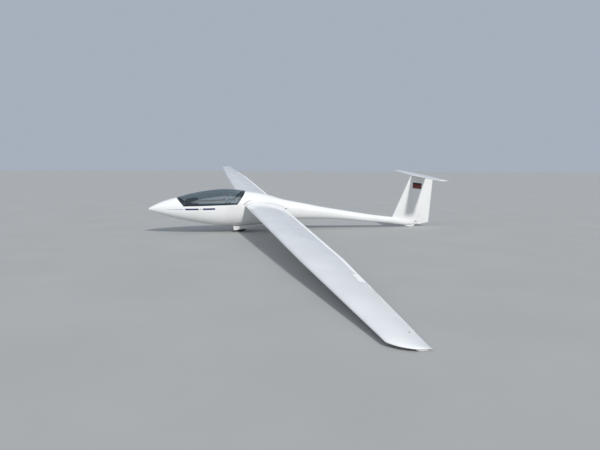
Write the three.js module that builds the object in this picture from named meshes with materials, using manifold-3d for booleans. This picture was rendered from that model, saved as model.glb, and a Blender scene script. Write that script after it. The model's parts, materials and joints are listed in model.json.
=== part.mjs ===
// Single-seat sailplane of the 15 metre class, parked on its wheel, tail skid and port wing tip.
// Lengths are in millimetres. Pieces are drawn in the level frame: X aft from the nose tip, Y to starboard,
// Z up from the plane under the wheel and the tail skid. The whole aircraft is then laid over onto its port
// wing tip and turned to head along +X, with +Y to port, and its origin is put under the middle of its
// bounding box.

import * as THREE from 'three';
import Module from 'manifold-3d';
import { mergeVertices } from 'three/addons/utils/BufferGeometryUtils.js';

const wasm = await Module();
wasm.setup();

// Driving dimensions

const FIT = 0.3; // gap between pieces that touch
const WALL = 20; // cockpit wall with its foam core
const GLASS = 5; // canopy pane
const HALF_SPAN = 7500;
const CONTROL_GAP = 6; // around the nose of a control surface

const WHEEL = { x: 2040, z: 175, radius: 175, crown: 60, bead: 76, sides: 36 };
const FORK = { inner: 66, outer: 73, axle: 12, boss: 22, top: [2120, 394], tube: 13 };
const TAIL_SKID = { x: 6410, half: 20 };
const ROOT_Y = 330; // rib plane of the wing root
const BAY = { front: 1842, rear: 2347, frontHalf: 115, rearHalf: 72, roof: 430 };
const SILL = { front: [754, 654], rear: [1915, 686] };
const CANOPY_TOP = { front: [361, 1100], rear: [2241, 1100] }; // the slanted cuts, run on above the skin

// Fuselage sections: station, top, bottom, half width, height of the widest point
const FUSELAGE = [
  [0, 570, 554, 8, 562],
  [35, 604, 538, 38, 564],
  [110, 648, 507, 84, 567],
  [240, 709, 459, 140, 571],
  [420, 771, 400, 194, 576],
  [607, 821, 347, 236, 581],
  [850, 889, 291, 275, 586],
  [1150, 949, 229, 305, 589],
  [1420, 986, 189, 322, 591],
  [1690, 1000, 168, 328, 592],
  [1950, 980, 158, 324, 593],
  [2200, 943, 160, 308, 588],
  [2450, 902, 173, 280, 576],
  [2700, 845, 196, 244, 556],
  [2980, 756, 238, 205, 526],
  [3360, 676, 268, 168, 486],
  [3900, 566, 258, 143, 418],
  [4480, 462, 229, 121, 348],
  [5170, 345, 154, 99, 252],
  [5760, 266, 96, 82, 182],
  [6250, 214, 40, 64, 128],
  [6560, 180, 50, 34, 112],
];
const RING = 32;
const UPPER_ROUND = 2.05; // superellipse exponents
const LOWER_ROUND = 2.3;

// Wing sections: distance from the centre, leading edge, chord, leading edge's height, thickness, incidence
const WING = [
  [ROOT_Y, 2090, 876, 663, 0.165, 3.8],
  [4823, 2181, 641, 741, 0.155, 3.3],
  [7321, 2270, 341, 785, 0.14, 3.0],
  [7400, 2325, 278, 786, 0.13, 3.0],
  [7465, 2405, 194, 787, 0.12, 3.0],
  [HALF_SPAN, 2505, 91, 787, 0.1, 3.0],
];
const WING_CAMBER = 0.028;

const AILERON = { inner: 5480, outer: 7180, hinge: 0.78 };
const AIRBRAKE = { inner: 2350, outer: 3650, chord: 0.52, thickness: 14, height: 74, gap: 6, lip: 4 };

// Tailplane sections: distance from the centre, leading edge, chord, thickness
const TAILPLANE = [
  [0, 6290, 412, 0.115],
  [1110, 6388, 258, 0.105],
  [1150, 6404, 230, 0.095],
  [1166, 6430, 178, 0.07],
];
const TAILPLANE_Z = 1308;
const ELEVATOR = { hinge: 6583, end: 1170 };

// Fin with its rudder: height, leading edge, trailing edge, thickness
const FIN = [
  [30, 5763, 6877, 0.088],
  [1330, 6298, 6905, 0.105],
];
const RUDDER = { low: [6575, 30], high: [6700, 1250], radii: [33, 17], top: 1250 };
const FIN_STEP = 6562; // aft of here the fin's top stays clear of the elevator

const CANOPY_HINGE = { front: 1250, rear: 1780, out: 8, knuckle: 7, pin: 3, length: 46 };
const DOOR = { thickness: 6, gap: 3, drop: 8 };

// Colours and finish

const PAINTS = {
  gelcoat: { color: 0xf2f2ef, roughness: 0.25, metalness: 0 },
  smoked: { color: 0x3c4a50, roughness: 0.05, metalness: 0, transparent: true, opacity: 0.4 },
  darkTrim: { color: 0x1c1d20, roughness: 0.6, metalness: 0 },
  cockpitGrey: { color: 0xa9adb0, roughness: 0.7, metalness: 0 },
  cushion: { color: 0x4a5560, roughness: 0.9, metalness: 0 },
  rubber: { color: 0x18181a, roughness: 0.85, metalness: 0 },
  alloy: { color: 0xb4b7ba, roughness: 0.4, metalness: 0.9 },
  steel: { color: 0x8a8d90, roughness: 0.45, metalness: 0.9 },
  blue: { color: 0x1d4f9e, roughness: 0.4, metalness: 0 },
};

// Solids and booleans

function solid(geometry) {
  const bare = geometry.clone();
  bare.deleteAttribute('normal');
  bare.deleteAttribute('uv');
  const merged = mergeVertices(bare, 1e-3);
  return new wasm.Manifold(new wasm.Mesh({
    numProp: 3,
    vertProperties: new Float32Array(merged.attributes.position.array),
    triVerts: new Uint32Array(merged.index.array),
  }));
}

function geometryOf(manifold) {
  const mesh = manifold.getMesh();
  const geometry = new THREE.BufferGeometry();
  geometry.setAttribute('position', new THREE.BufferAttribute(mesh.vertProperties, 3));
  geometry.setIndex(new THREE.BufferAttribute(mesh.triVerts, 1));
  geometry.computeVertexNormals();
  return geometry;
}

function moved(manifold, x, y, z) {
  return solid(geometryOf(manifold).translate(x, y, z));
}

// A skin through rings of equal point counts, closed by a flat fan at each end
function loft(rings) {
  const count = rings[0].length;
  const positions = rings.flat().flatMap((point) => point.toArray());
  const triangles = [];
  for (let ring = 0; ring + 1 < rings.length; ring++) {
    for (let i = 0; i < count; i++) {
      const next = (i + 1) % count;
      const a = ring * count + i;
      const b = ring * count + next;
      triangles.push(a, b, b + count, a, b + count, a + count);
    }
  }
  for (const [ring, flip] of [[0, true], [rings.length - 1, false]]) {
    const middle = rings[ring].reduce((sum, point) => sum.add(point), new THREE.Vector3());
    middle.divideScalar(count);
    const centre = positions.length / 3;
    positions.push(...middle.toArray());
    for (let i = 0; i < count; i++) {
      const a = ring * count + i;
      const b = ring * count + (i + 1) % count;
      triangles.push(centre, flip ? b : a, flip ? a : b);
    }
  }
  const geometry = new THREE.BufferGeometry();
  geometry.setAttribute('position', new THREE.BufferAttribute(new Float32Array(positions), 3));
  geometry.setIndex(triangles);
  const body = solid(geometry);
  return body.volume() > 0 ? body : solid(flipped(geometry));
}

function flipped(geometry) {
  const index = Array.from(geometry.index.array);
  for (let i = 0; i < index.length; i += 3) {
    [index[i], index[i + 1]] = [index[i + 1], index[i]];
  }
  const turned = geometry.clone();
  turned.setIndex(index);
  return turned;
}

// A side-view outline of [x, z] points, run across from one y to another
function profile(points, low, high) {
  const shape = new THREE.Shape(points.map(([x, z]) => new THREE.Vector2(x, z)));
  const geometry = new THREE.ExtrudeGeometry(shape, { depth: high - low, bevelEnabled: false });
  return solid(geometry.rotateX(Math.PI / 2).translate(0, high, 0));
}

function block(low, high) {
  const size = high.map((value, i) => value - low[i]);
  const middle = high.map((value, i) => (value + low[i]) / 2);
  return solid(new THREE.BoxGeometry(...size).translate(...middle));
}

// A round bar between two points, its radius changing from the first to the second
function bar(from, to, radiusFrom, radiusTo = radiusFrom, sides = 16) {
  const start = new THREE.Vector3(...from);
  const along = new THREE.Vector3(...to).sub(start);
  const geometry = new THREE.CylinderGeometry(radiusTo, radiusFrom, along.length(), sides);
  geometry.translate(0, along.length() / 2, 0);
  const upright = new THREE.Vector3(0, 1, 0);
  const turn = new THREE.Quaternion().setFromUnitVectors(upright, along.clone().normalize());
  return solid(geometry.applyQuaternion(turn).translate(...from));
}

// A box with one face on the line between two points, reaching aft of it
function aftOf(from, to, before, after, reach) {
  const start = new THREE.Vector3(...from);
  const along = new THREE.Vector3(...to).sub(start);
  const length = along.length();
  along.normalize();
  const aft = new THREE.Vector3(1, 0, 0).addScaledVector(along, -along.x).normalize();
  const across = new THREE.Vector3().crossVectors(along, aft);
  const geometry = new THREE.BoxGeometry(length + before + after, reach, reach);
  geometry.translate((length + after - before) / 2, reach / 2, 0);
  geometry.applyMatrix4(new THREE.Matrix4().makeBasis(along, aft, across).setPosition(start));
  return solid(geometry);
}

function between(from, to, share) {
  return from.map((value, i) => value + (to[i] - value) * share);
}

const pieces = [];

// A moving piece keeps the line that it turns about, or slides along, as two points of the level frame
function piece(name, body, paint, { place, line } = {}) {
  pieces.push({ name, geometry: body.isBufferGeometry ? body : geometryOf(body), paint, place, line });
}

// Fuselage skin at an inset from the outside

function stationAt(x) {
  const after = Math.max(1, FUSELAGE.findIndex((row) => row[0] >= x));
  const share = (x - FUSELAGE[after - 1][0]) / (FUSELAGE[after][0] - FUSELAGE[after - 1][0]);
  return between(FUSELAGE[after - 1], FUSELAGE[after], share);
}

function ringAt([x, top, bottom, half, widest], inset) {
  const ring = [];
  for (let i = 0; i < RING; i++) {
    const angle = 2 * Math.PI * i / RING;
    const round = 2 / (Math.sin(angle) > 0 ? UPPER_ROUND : LOWER_ROUND);
    const rise = (Math.sin(angle) > 0 ? top - widest : widest - bottom) - inset;
    const across = Math.sign(Math.cos(angle)) * Math.abs(Math.cos(angle)) ** round;
    const up = Math.sign(Math.sin(angle)) * Math.abs(Math.sin(angle)) ** round;
    ring.push(new THREE.Vector3(x, (half - inset) * across, widest + rise * up));
  }
  return ring;
}

function skin(inset, from = FUSELAGE[0][0], to = FUSELAGE.at(-1)[0]) {
  const inner = FUSELAGE.filter((row) => row[0] > from && row[0] < to);
  return loft([stationAt(from), ...inner, stationAt(to)].map((row) => ringAt(row, inset)));
}

function skinHalfWidth(x, z) {
  const [, top, , half, widest] = stationAt(x);
  return half * (1 - ((z - widest) / (top - widest)) ** UPPER_ROUND) ** (1 / UPPER_ROUND);
}

function skinBottom(x, y) {
  const [, , bottom, half, widest] = stationAt(x);
  return widest - (widest - bottom) * (1 - (y / half) ** LOWER_ROUND) ** (1 / LOWER_ROUND);
}

// Aerofoils: points from the trailing edge over the top to the nose and back underneath

const FOIL_STEPS = 11;
const FOIL_TAIL = 0.004; // thickness of the trailing edge

function foil(chord, thickness, camber) {
  const upper = [];
  const lower = [];
  for (let i = 0; i <= FOIL_STEPS; i++) {
    const x = (1 + Math.cos(Math.PI * i / FOIL_STEPS)) / 2;
    const half = 5 * thickness * (0.2969 * Math.sqrt(x) - 0.126 * x - 0.3516 * x ** 2
      + 0.2843 * x ** 3 - 0.1015 * x ** 4) + FOIL_TAIL / 2 * x;
    const middle = 4 * camber * x * (1 - x);
    upper.push([x * chord, (middle + half) * chord]);
    lower.push([x * chord, (middle - half) * chord]);
  }
  return [...upper, ...lower.slice(1, -1).reverse(), lower[0]];
}

function foilHalf(chord, thickness, share) {
  const points = foil(chord, thickness, 0);
  const above = points.slice(0, FOIL_STEPS + 1).find(([x]) => x <= share * chord);
  return above[1];
}

// Wings

function wingRowAt(distance) {
  const after = Math.max(1, WING.findIndex((row) => row[0] >= distance));
  const share = (distance - WING[after - 1][0]) / (WING[after][0] - WING[after - 1][0]);
  return between(WING[after - 1], WING[after], share);
}

function wingPoint(distance, side, along, up) {
  const [, lead, , height, , incidence] = wingRowAt(distance);
  const tilt = THREE.MathUtils.degToRad(incidence);
  const x = lead + along * Math.cos(tilt) + up * Math.sin(tilt);
  const z = height - along * Math.sin(tilt) + up * Math.cos(tilt);
  return [x, side * distance, z];
}

function wingRing(distance, side) {
  const [, , chord, , thickness] = wingRowAt(distance);
  const ring = foil(chord, thickness, WING_CAMBER);
  return ring.map(([along, up]) => new THREE.Vector3(...wingPoint(distance, side, along, up)));
}

function wholeWing(side) {
  return loft(WING.map((row) => wingRing(row[0] + (row[0] === ROOT_Y ? FIT : 0), side)));
}

function chordLine(distance, side, share) {
  const chord = wingRowAt(distance)[2];
  return wingPoint(distance, side, share * chord, 4 * WING_CAMBER * share * (1 - share) * chord);
}

const NOSE_SHARE = 0.97; // of the half thickness at the hinge line

function controlRadius(distance) {
  const [, , chord, , thickness] = wingRowAt(distance);
  return foilHalf(chord, thickness, AILERON.hinge) * NOSE_SHARE;
}

const NOSE_SIDES = 12;

// Round bars end to end through stations of [point, radius]
function roundSpar(stations, grow) {
  const bars = stations.slice(1).map(([point, radius], i) => (
    bar(stations[i][0], point, stations[i][1] + grow, radius + grow, NOSE_SIDES)));
  return bars.reduce((sum, part) => sum.add(part));
}

// Cuts a moving surface out of a whole one. Its nose is round about the hinge line.
function splitSurface(whole, { stations, endGap, reach }) {
  const [from, radiusFrom] = stations[0];
  const [to, radiusTo] = stations.at(-1);
  const nose = roundSpar(stations, 0);
  const [before, after] = [-0.02, 1.02].map((share) => between(from, to, share));
  const room = roundSpar([[before, radiusFrom], ...stations.slice(1, -1), [after, radiusTo]], CONTROL_GAP);
  const aft = aftOf(from, to, 0, 0, reach);
  const cut = aftOf(from, to, endGap, endGap, reach).add(room);
  return { moving: whole.intersect(aft.add(nose)), fixed: whole.subtract(cut), cut };
}

// Hinge lugs on the fixed surface, each round a pin on the moving one
const LUG = { thickness: 8, slot: 18, radius: 7, pin: 3, overlap: 7 };

function addHinges(split, from, to, shares, noseRadius, reachBack) {
  let { moving, fixed } = split;
  const length = new THREE.Vector3(...from).distanceTo(new THREE.Vector3(...to));
  const slotRadius = noseRadius + CONTROL_GAP;
  for (const share of shares) {
    const stretch = (size) => [-1, 1].map((way) => between(from, to, share + way * size / 2 / length));
    moving = moving.subtract(bar(...stretch(LUG.slot), slotRadius, slotRadius, 12));
    moving = moving.add(bar(...stretch(LUG.slot + 2 * LUG.overlap), LUG.pin, LUG.pin, 8));
    const lugRound = bar(...stretch(LUG.thickness), LUG.radius, LUG.radius, 10);
    const [low, high] = stretch(LUG.thickness);
    const arm = forwardArm(low, high, slotRadius + reachBack, LUG.radius);
    const bore = bar(...stretch(LUG.slot), LUG.pin + FIT, LUG.pin + FIT, 8);
    fixed = fixed.add(lugRound.add(arm).subtract(bore));
  }
  return { moving, fixed };
}

// A flat arm between two points' stretch, reaching forward from the hinge line into the fixed surface
function forwardArm(low, high, reach, half) {
  const start = new THREE.Vector3(...low);
  const along = new THREE.Vector3(...high).sub(start);
  const length = along.length();
  along.normalize();
  const ahead = new THREE.Vector3(-1, 0, 0).addScaledVector(along, along.x).normalize();
  const across = new THREE.Vector3().crossVectors(along, ahead);
  const geometry = new THREE.BoxGeometry(length, reach, half * 1.6);
  geometry.translate(length / 2, reach / 2, 0);
  geometry.applyMatrix4(new THREE.Matrix4().makeBasis(along, ahead, across).setPosition(start));
  return solid(geometry);
}

// The way out for an airbrake: square to the chord line of its slot
function airbrakeLine(side) {
  const inner = chordLine(AIRBRAKE.inner, side, AIRBRAKE.chord);
  const outer = chordLine(AIRBRAKE.outer, side, AIRBRAKE.chord);
  const along = new THREE.Vector3(...outer).sub(new THREE.Vector3(...inner)).normalize();
  const up = new THREE.Vector3(0, 0, 1).addScaledVector(along, -along.z);
  return [inner, up.add(new THREE.Vector3(...inner)).toArray()];
}

function airbrakeBox(side, grow) {
  const inner = chordLine(AIRBRAKE.inner, side, AIRBRAKE.chord);
  const outer = chordLine(AIRBRAKE.outer, side, AIRBRAKE.chord);
  const along = new THREE.Vector3(...outer).sub(new THREE.Vector3(...inner));
  const length = along.length() + 2 * grow;
  along.normalize();
  const up = new THREE.Vector3(0, 0, 1).addScaledVector(along, -along.z).normalize();
  const across = new THREE.Vector3().crossVectors(along, up);
  const geometry = new THREE.BoxGeometry(length, 200, AIRBRAKE.thickness + 2 * grow);
  const floor = Math.min(grow, FIT);
  geometry.translate(length / 2 - grow, 100 - AIRBRAKE.height / 2 - floor + AIRBRAKE.lip, 0);
  geometry.applyMatrix4(new THREE.Matrix4().makeBasis(along, up, across).setPosition(...inner));
  return solid(geometry);
}

function addWing(side, label) {
  const whole = wholeWing(side);
  const from = chordLine(AILERON.inner, side, AILERON.hinge);
  const to = chordLine(AILERON.outer, side, AILERON.hinge);
  const noseRadius = controlRadius(AILERON.inner);
  const stations = [[from, noseRadius], [to, controlRadius(AILERON.outer)]];
  const split = splitSurface(whole, { stations, endGap: CONTROL_GAP, reach: 600 });
  const hinged = addHinges(split, from, to, [0.15, 0.5, 0.85], noseRadius, 14);
  const brake = whole.intersect(airbrakeBox(side, 0));
  const wing = hinged.fixed.subtract(airbrakeBox(side, AIRBRAKE.gap));
  piece(`wing_${label}`, wing, 'gelcoat');
  piece(`aileron_${label}`, hinged.moving, 'gelcoat', { line: [from, to] });
  piece(`airbrake_${label}`, brake, 'gelcoat', { line: airbrakeLine(side) });
  addTipSkid(side, label, whole);
}

const TIP_SKID = { x: [2470, 2575], distance: 7455, half: 6, low: 752 };

function addTipSkid(side, label, wing) {
  const low = side * TIP_SKID.distance - TIP_SKID.half;
  const high = low + 2 * TIP_SKID.half;
  const [front, rear] = TIP_SKID.x;
  const outline = [[front, 800], [front + 22, TIP_SKID.low], [rear - 15, TIP_SKID.low], [rear, 800]];
  const shoe = profile(outline, low, high);
  const under = shoe.subtract(wing.add(moved(wing, 0, 0, -FIT)));
  const seated = under.decompose().sort((a, b) => b.volume() - a.volume())[0];
  piece(`tip_skid_${label}`, seated.intersect(block([0, -9000, 0], [9000, 9000, 785])), 'gelcoat');
}

// Tail

function tailplaneWhole() {
  const rows = [...TAILPLANE.slice(1).reverse().map(([y, ...rest]) => [-y, ...rest]), ...TAILPLANE];
  return loft(rows.map(([y, lead, chord, thickness]) => foil(chord, thickness, 0)
    .map(([along, up]) => new THREE.Vector3(lead + along, y, TAILPLANE_Z + up))));
}

function finWhole() {
  return loft(FIN.map(([z, lead, trail, thickness]) => foil(trail - lead, thickness, 0)
    .map(([along, across]) => new THREE.Vector3(lead + along, across, z))));
}

function elevatorRadius([, lead, chord, thickness]) {
  return foilHalf(chord, thickness, (ELEVATOR.hinge - lead) / chord) * NOSE_SHARE;
}

function addTail(hull) {
  const whole = tailplaneWhole();
  const [from, middle, to] = [-1, 0, 1].map((side) => [ELEVATOR.hinge, side * ELEVATOR.end, TAILPLANE_Z]);
  const [middleRadius, tipRadius] = TAILPLANE.slice(0, 2).map(elevatorRadius);
  const stations = [[from, tipRadius], [middle, middleRadius], [to, tipRadius]];
  const split = splitSurface(whole, { stations, endGap: CONTROL_GAP, reach: 400 });
  const hinged = addHinges(split, from, to, [0.12, 0.36, 0.64, 0.88], middleRadius, 16);
  piece('tailplane', hinged.fixed, 'gelcoat');
  piece('elevator', hinged.moving, 'gelcoat', { line: [from, to] });

  const vertical = finWhole();
  const low = [RUDDER.low[0], 0, RUDDER.low[1]];
  const high = [RUDDER.high[0], 0, RUDDER.high[1]];
  const rudderSplit = splitSurface(vertical, {
    stations: [[low, RUDDER.radii[0]], [high, RUDDER.radii[1]]], endGap: 200, reach: 700,
  });
  const keepRudder = profile([
    [6400, 42], [6530, 48], [6900, 102], [7100, 110], [7100, RUDDER.top], [6400, RUDDER.top],
  ], -200, 200);
  const aboveBoom = profile([[5600, 200], [6700, 95], [7000, 95], [7000, RUDDER.top], [FIN_STEP, RUDDER.top],
    [FIN_STEP, TAILPLANE_Z - 8], [5600, TAILPLANE_Z - 8]], -200, 200);
  const tailCut = moved(whole, -FIT, 0, -FIT).add(moved(whole, FIT, 0, -FIT));
  const fin = rudderSplit.fixed.intersect(aboveBoom).subtract(tailCut).subtract(skin(-FIT));
  const finBody = { moving: rudderSplit.moving.intersect(keepRudder), fixed: fin };
  const hingedRudder = addHinges(finBody, low, high, [0.2, 0.78], RUDDER.radii[0], 20);
  piece('tail_fin', largest(hingedRudder.fixed), 'gelcoat');
  piece('rudder', largest(hingedRudder.moving), 'gelcoat', { line: [low, high] });
  return hull.subtract(rudderSplit.cut);
}

function largest(body) {
  return body.decompose().sort((a, b) => b.volume() - a.volume())[0];
}

function addTailSkid(hull) {
  const outline = [[6180, 80], [6200, 34], [6262, 12], [6340, 0], [6430, 0], [6472, 14], [6505, 75]];
  const shoe = profile(outline, -TAIL_SKID.half, TAIL_SKID.half);
  piece('tail_skid', largest(shoe.subtract(hull.add(moved(hull, 0, 0, -FIT)))), 'gelcoat');
}

// Fuselage

function canopyOutline(gap) {
  const corners = [CANOPY_TOP.front, SILL.front, SILL.rear, CANOPY_TOP.rear];
  return insetOutline(corners, gap);
}

// Moves each side of a convex outline inwards; the outline runs anticlockwise
function insetOutline(corners, gap) {
  const lines = corners.map(([x, z], i) => {
    const [nextX, nextZ] = corners[(i + 1) % corners.length];
    const length = Math.hypot(nextX - x, nextZ - z);
    const normal = [-(nextZ - z) / length, (nextX - x) / length];
    return { normal, offset: normal[0] * x + normal[1] * z + gap };
  });
  return lines.map((line, i) => {
    const before = lines[(i + lines.length - 1) % lines.length];
    const det = before.normal[0] * line.normal[1] - before.normal[1] * line.normal[0];
    return [
      (before.offset * line.normal[1] - line.offset * before.normal[1]) / det,
      (before.normal[0] * line.offset - line.normal[0] * before.offset) / det,
    ];
  });
}

function bayPlan(shrink, low, high, halfShrink = shrink) {
  const corners = [
    [BAY.front + shrink, -(BAY.frontHalf - halfShrink)], [BAY.rear - shrink, -(BAY.rearHalf - halfShrink)],
    [BAY.rear - shrink, BAY.rearHalf - halfShrink], [BAY.front + shrink, BAY.frontHalf - halfShrink],
  ];
  const shape = new THREE.Shape(corners.map(([x, y]) => new THREE.Vector2(x, y)));
  const geometry = new THREE.ExtrudeGeometry(shape, { depth: high - low, bevelEnabled: false });
  return solid(geometry.translate(0, 0, low));
}

const HOOK = { x: [1700, 1790], half: 16, low: 150, high: 216 };

function hullShell() {
  const outer = skin(0);
  const stub = loft([-1, 1].map((side) => wingRing(ROOT_Y, side)));
  const cavity = skin(WALL, 130, 2260).intersect(profile([
    [130, 150], [1640, 150], [1640, 236], [1795, 236], [1795, 692], [1985, 692], [2300, 1100], [130, 1100],
  ], -400, 400));
  const opening = profile(canopyOutline(0), -400, 400);
  const [hookFront, hookRear] = HOOK.x;
  const hookPocket = block([hookFront - FIT, -HOOK.half - FIT, 100],
    [hookRear + FIT, HOOK.half + FIT, HOOK.high + FIT]);
  return outer.add(stub).subtract(cavity).subtract(opening)
    .subtract(bayPlan(0, 60, BAY.roof)).subtract(hookPocket);
}

// Cockpit pieces stand inside the cockpit wall

function insideCockpit(body) {
  return body.intersect(skin(WALL + FIT, 135, 2250));
}

// A line of [x, z] points moved square to itself: downwards where it runs aft and the distance is positive
function shifted(line, distance) {
  return line.map(([x, z], i) => {
    const [x0, z0] = line[Math.max(0, i - 1)];
    const [x1, z1] = line[Math.min(line.length - 1, i + 1)];
    const length = Math.hypot(x1 - x0, z1 - z0);
    return [x + distance * (z1 - z0) / length, z - distance * (x1 - x0) / length];
  });
}

// A sheet that follows a line of [x, z] points, with its top on the line
function sheet(line, thickness, low, high) {
  return profile([...shifted(line, thickness), ...line.slice().reverse()], low, high);
}

const SEAT_LINE = [
  [930, 372], [1000, 315], [1090, 276], [1210, 276], [1330, 252], [1430, 262], [1510, 330],
  [1620, 500], [1738, 690], [1780, 760],
];
const SEAT_THICKNESS = 8;
const CUSHION = { thickness: 28, seatHalf: 140, backHalf: 165 };
const SEAT_CUSHION_LINE = [[1215, 275], [1330, 252], [1430, 262], [1478, 303]];
const BACK_CUSHION_LINE = [[1530, 361], [1620, 500], [1728, 674]];

// A cushion that lies on a line of [x, z] points
function cushionOn(line, half) {
  const top = shifted(line, -CUSHION.thickness);
  const body = profile([...shifted(line, -FIT), ...top.reverse()], -half, half);
  return body.intersect(skin(WALL + 6, 135, 2250));
}

function addSeat() {
  const frameRoom = profile(canopyOutline(-6), -400, 400).subtract(skin(GLASS + FRAME.depth + 8));
  const pan = insideCockpit(sheet(SEAT_LINE, SEAT_THICKNESS, -400, 400)).subtract(frameRoom);
  piece('seat_pan', pan, 'cockpitGrey');
  piece('seat_cushion', cushionOn(SEAT_CUSHION_LINE, CUSHION.seatHalf), 'cushion');
  piece('back_cushion', cushionOn(BACK_CUSHION_LINE, CUSHION.backHalf), 'cushion');
  piece('headrest', block([1772, -95, 757], [1812, 95, 880]).subtract(
    sheet(SEAT_LINE, SEAT_THICKNESS + FIT, -400, 400)), 'cushion');
}

function addInstruments() {
  piece('instrument_pedestal', insideCockpit(block([850, -50, 250], [922, 50, 560 - FIT])), 'cockpitGrey');
  const podSections = [[790, 110, 660, 742], [850, 146, 560, 782], [1060, 156, 560, 806]];
  const pod = loft(podSections.map(([x, half, low, high]) => podRing(x, half, low, high)));
  piece('instrument_pod', pod, 'darkTrim');
  const plate = loft([1060 + FIT, 1064].map((x) => podRing(x, 148, 568, 796)));
  piece('instrument_panel', plate, 'darkTrim');
}

// An eight-cornered upright section of the instrument housing
function podRing(x, half, low, high) {
  const corner = half * 0.45;
  return [
    [-half, low + corner], [-half + corner, low], [half - corner, low], [half, low + corner],
    [half, high - corner], [half - corner, high], [-half + corner, high], [-half, high - corner],
  ].map(([y, z]) => new THREE.Vector3(x, y, z));
}

function addControls() {
  const stick = new THREE.LatheGeometry([
    [0, 0], [38, 0], [34, 16], [16, 60], [9, 72], [9, 240], [15, 252], [18, 300], [16, 350], [10, 372],
    [0, 374],
  ].map(([r, z]) => new THREE.Vector2(r, z)), 16).rotateX(Math.PI / 2).translate(1150, 0, 276 + FIT);
  piece('control_stick', solid(stick), 'darkTrim');
  const bars = bar([520, -300, 430], [520, 300, 430], 10);
  const plates = [-1, 1].map((side) => profile([[512, 425], [520, 560], [530, 560], [530, 425]],
    side * 75 - 38, side * 75 + 38));
  piece('rudder_pedals', insideCockpit(bars.add(plates[0]).add(plates[1])), 'alloy');
  addWallLever('airbrake_lever', -1, 1120, 1420, 560, 1290, 'blue');
  addWallLever('gear_lever', 1, 1080, 1380, 520, 1180, 'darkTrim');
}

// A push rod along the cockpit wall on two brackets, with a handle that stands in from it
function addWallLever(name, side, front, rear, z, handle, paint) {
  const inset = WALL + 28;
  const at = (x) => [x, side * (stationAt(x)[3] - inset), z];
  const rod = bar(at(front), at(rear), 7);
  const brackets = [front + 25, rear - 25].map((x) => bar(at(x), [x, side * 400, z], 6));
  const [hx, hy, hz] = at(handle);
  const grip = bar([hx, hy, hz], [hx, hy - side * 70, hz + 25], 13);
  piece(name, insideCockpit(brackets[0].add(brackets[1]).add(rod)).add(grip), paint);
}

// Canopy

const FRAME = { width: 34, depth: 17 };

function canopyHingeAt(x) {
  const share = (x - SILL.front[0]) / (SILL.rear[0] - SILL.front[0]);
  const z = SILL.front[1] + share * (SILL.rear[1] - SILL.front[1]);
  return [x, skinHalfWidth(x, z) + CANOPY_HINGE.out, z];
}

function addCanopy(hull) {
  const pane = profile(canopyOutline(FIT * 2), -400, 400);
  const glass = skin(0, 400, 2300).subtract(skin(GLASS, 390, 2310)).intersect(pane);
  const band = pane.subtract(profile(canopyOutline(FRAME.width), -400, 400));
  const shell = skin(GLASS + FIT, 400, 2300).subtract(skin(GLASS + FRAME.depth, 390, 2310));
  let frame = shell.intersect(band);
  let fuselage = hull;
  let clearGlass = glass;
  const { knuckle, pin, length } = CANOPY_HINGE;
  const axis = [canopyHingeAt(CANOPY_HINGE.front), canopyHingeAt(CANOPY_HINGE.rear)];
  const along = new THREE.Vector3(...axis[1]).sub(new THREE.Vector3(...axis[0])).normalize();
  for (const [i, name] of ['front', 'rear'].entries()) {
    const stretch = (low, high) => [low, high].map((s) => along.clone().multiplyScalar(s)
      .add(new THREE.Vector3(...axis[i])).toArray());
    const room = bar(...stretch(-length / 2 - 4, length / 2 + 4), knuckle + 2);
    clearGlass = clearGlass.subtract(room);
    const [x, y, z] = axis[i];
    const tongue = block([x - 11, y - 24, z + FIT * 2], [x + 11, y, z + 7]);
    const cut = block([x - 12, y - 20, z - 1], [x + 12, y + 9, z + 9]);
    clearGlass = clearGlass.subtract(cut);
    const bore = bar(...stretch(-length, length), pin + FIT);
    frame = frame.subtract(room).add(bar(...stretch(-11, 11), knuckle).add(tongue).subtract(bore));
    fuselage = fuselage.subtract(bar(...stretch(-length / 2 - 4, length / 2 + 4), knuckle + 2));
    const leaf = block([x - length / 2, y - 22, z - 26], [x + length / 2, y, z - 10]);
    const posts = [[-length / 2, -12], [12, length / 2]].map(([low, high]) => (
      bar(...stretch(low, high), knuckle).add(block([x + low, y - 5, z - 24], [x + high, y + 4, z]))));
    const seat = leaf.add(posts[0]).add(posts[1]).add(bar(...stretch(-length / 2, length / 2), pin));
    piece(`canopy_hinge_${name}`, seat, 'steel');
    fuselage = fuselage.subtract(block([x - length / 2 - FIT, y - 22 - FIT, z - 26 - FIT],
      [x + length / 2 + FIT, y + 20, z + 20]).intersect(skin(-30)));
  }
  piece('canopy_glass', largest(clearGlass), 'smoked');
  piece('canopy_frame', largest(frame), 'darkTrim', { line: axis });
  piece('canopy_latch', canopyLatch(), 'alloy');
  return fuselage;
}

const LATCH = { x: [1180, 1290], rise: 20, radius: 6, reach: 40 };

// A sliding latch on the inside of the port frame, with a finger knob at its front end
function canopyLatch() {
  const at = (x, inset) => {
    const share = (x - SILL.front[0]) / (SILL.rear[0] - SILL.front[0]);
    const z = SILL.front[1] + share * (SILL.rear[1] - SILL.front[1]) + LATCH.rise;
    return [x, inset - skinHalfWidth(x, z), z];
  };
  const [front, rear] = LATCH.x;
  const seat = GLASS + FRAME.depth;
  const rod = bar(at(front, seat + LATCH.radius), at(rear, seat + LATCH.radius), LATCH.radius);
  const feet = [front + 16, rear - 16].map((x) => bar(at(x, 0), at(x, seat + LATCH.radius), 5));
  const knob = bar(at(front + 8, seat + LATCH.radius), at(front + 8, seat + LATCH.reach), 5, 8);
  const whole = feet.reduce((sum, foot) => sum.add(foot), rod.add(knob));
  return largest(whole.intersect(skin(seat + FIT)));
}

// Main wheel and its leg

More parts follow.
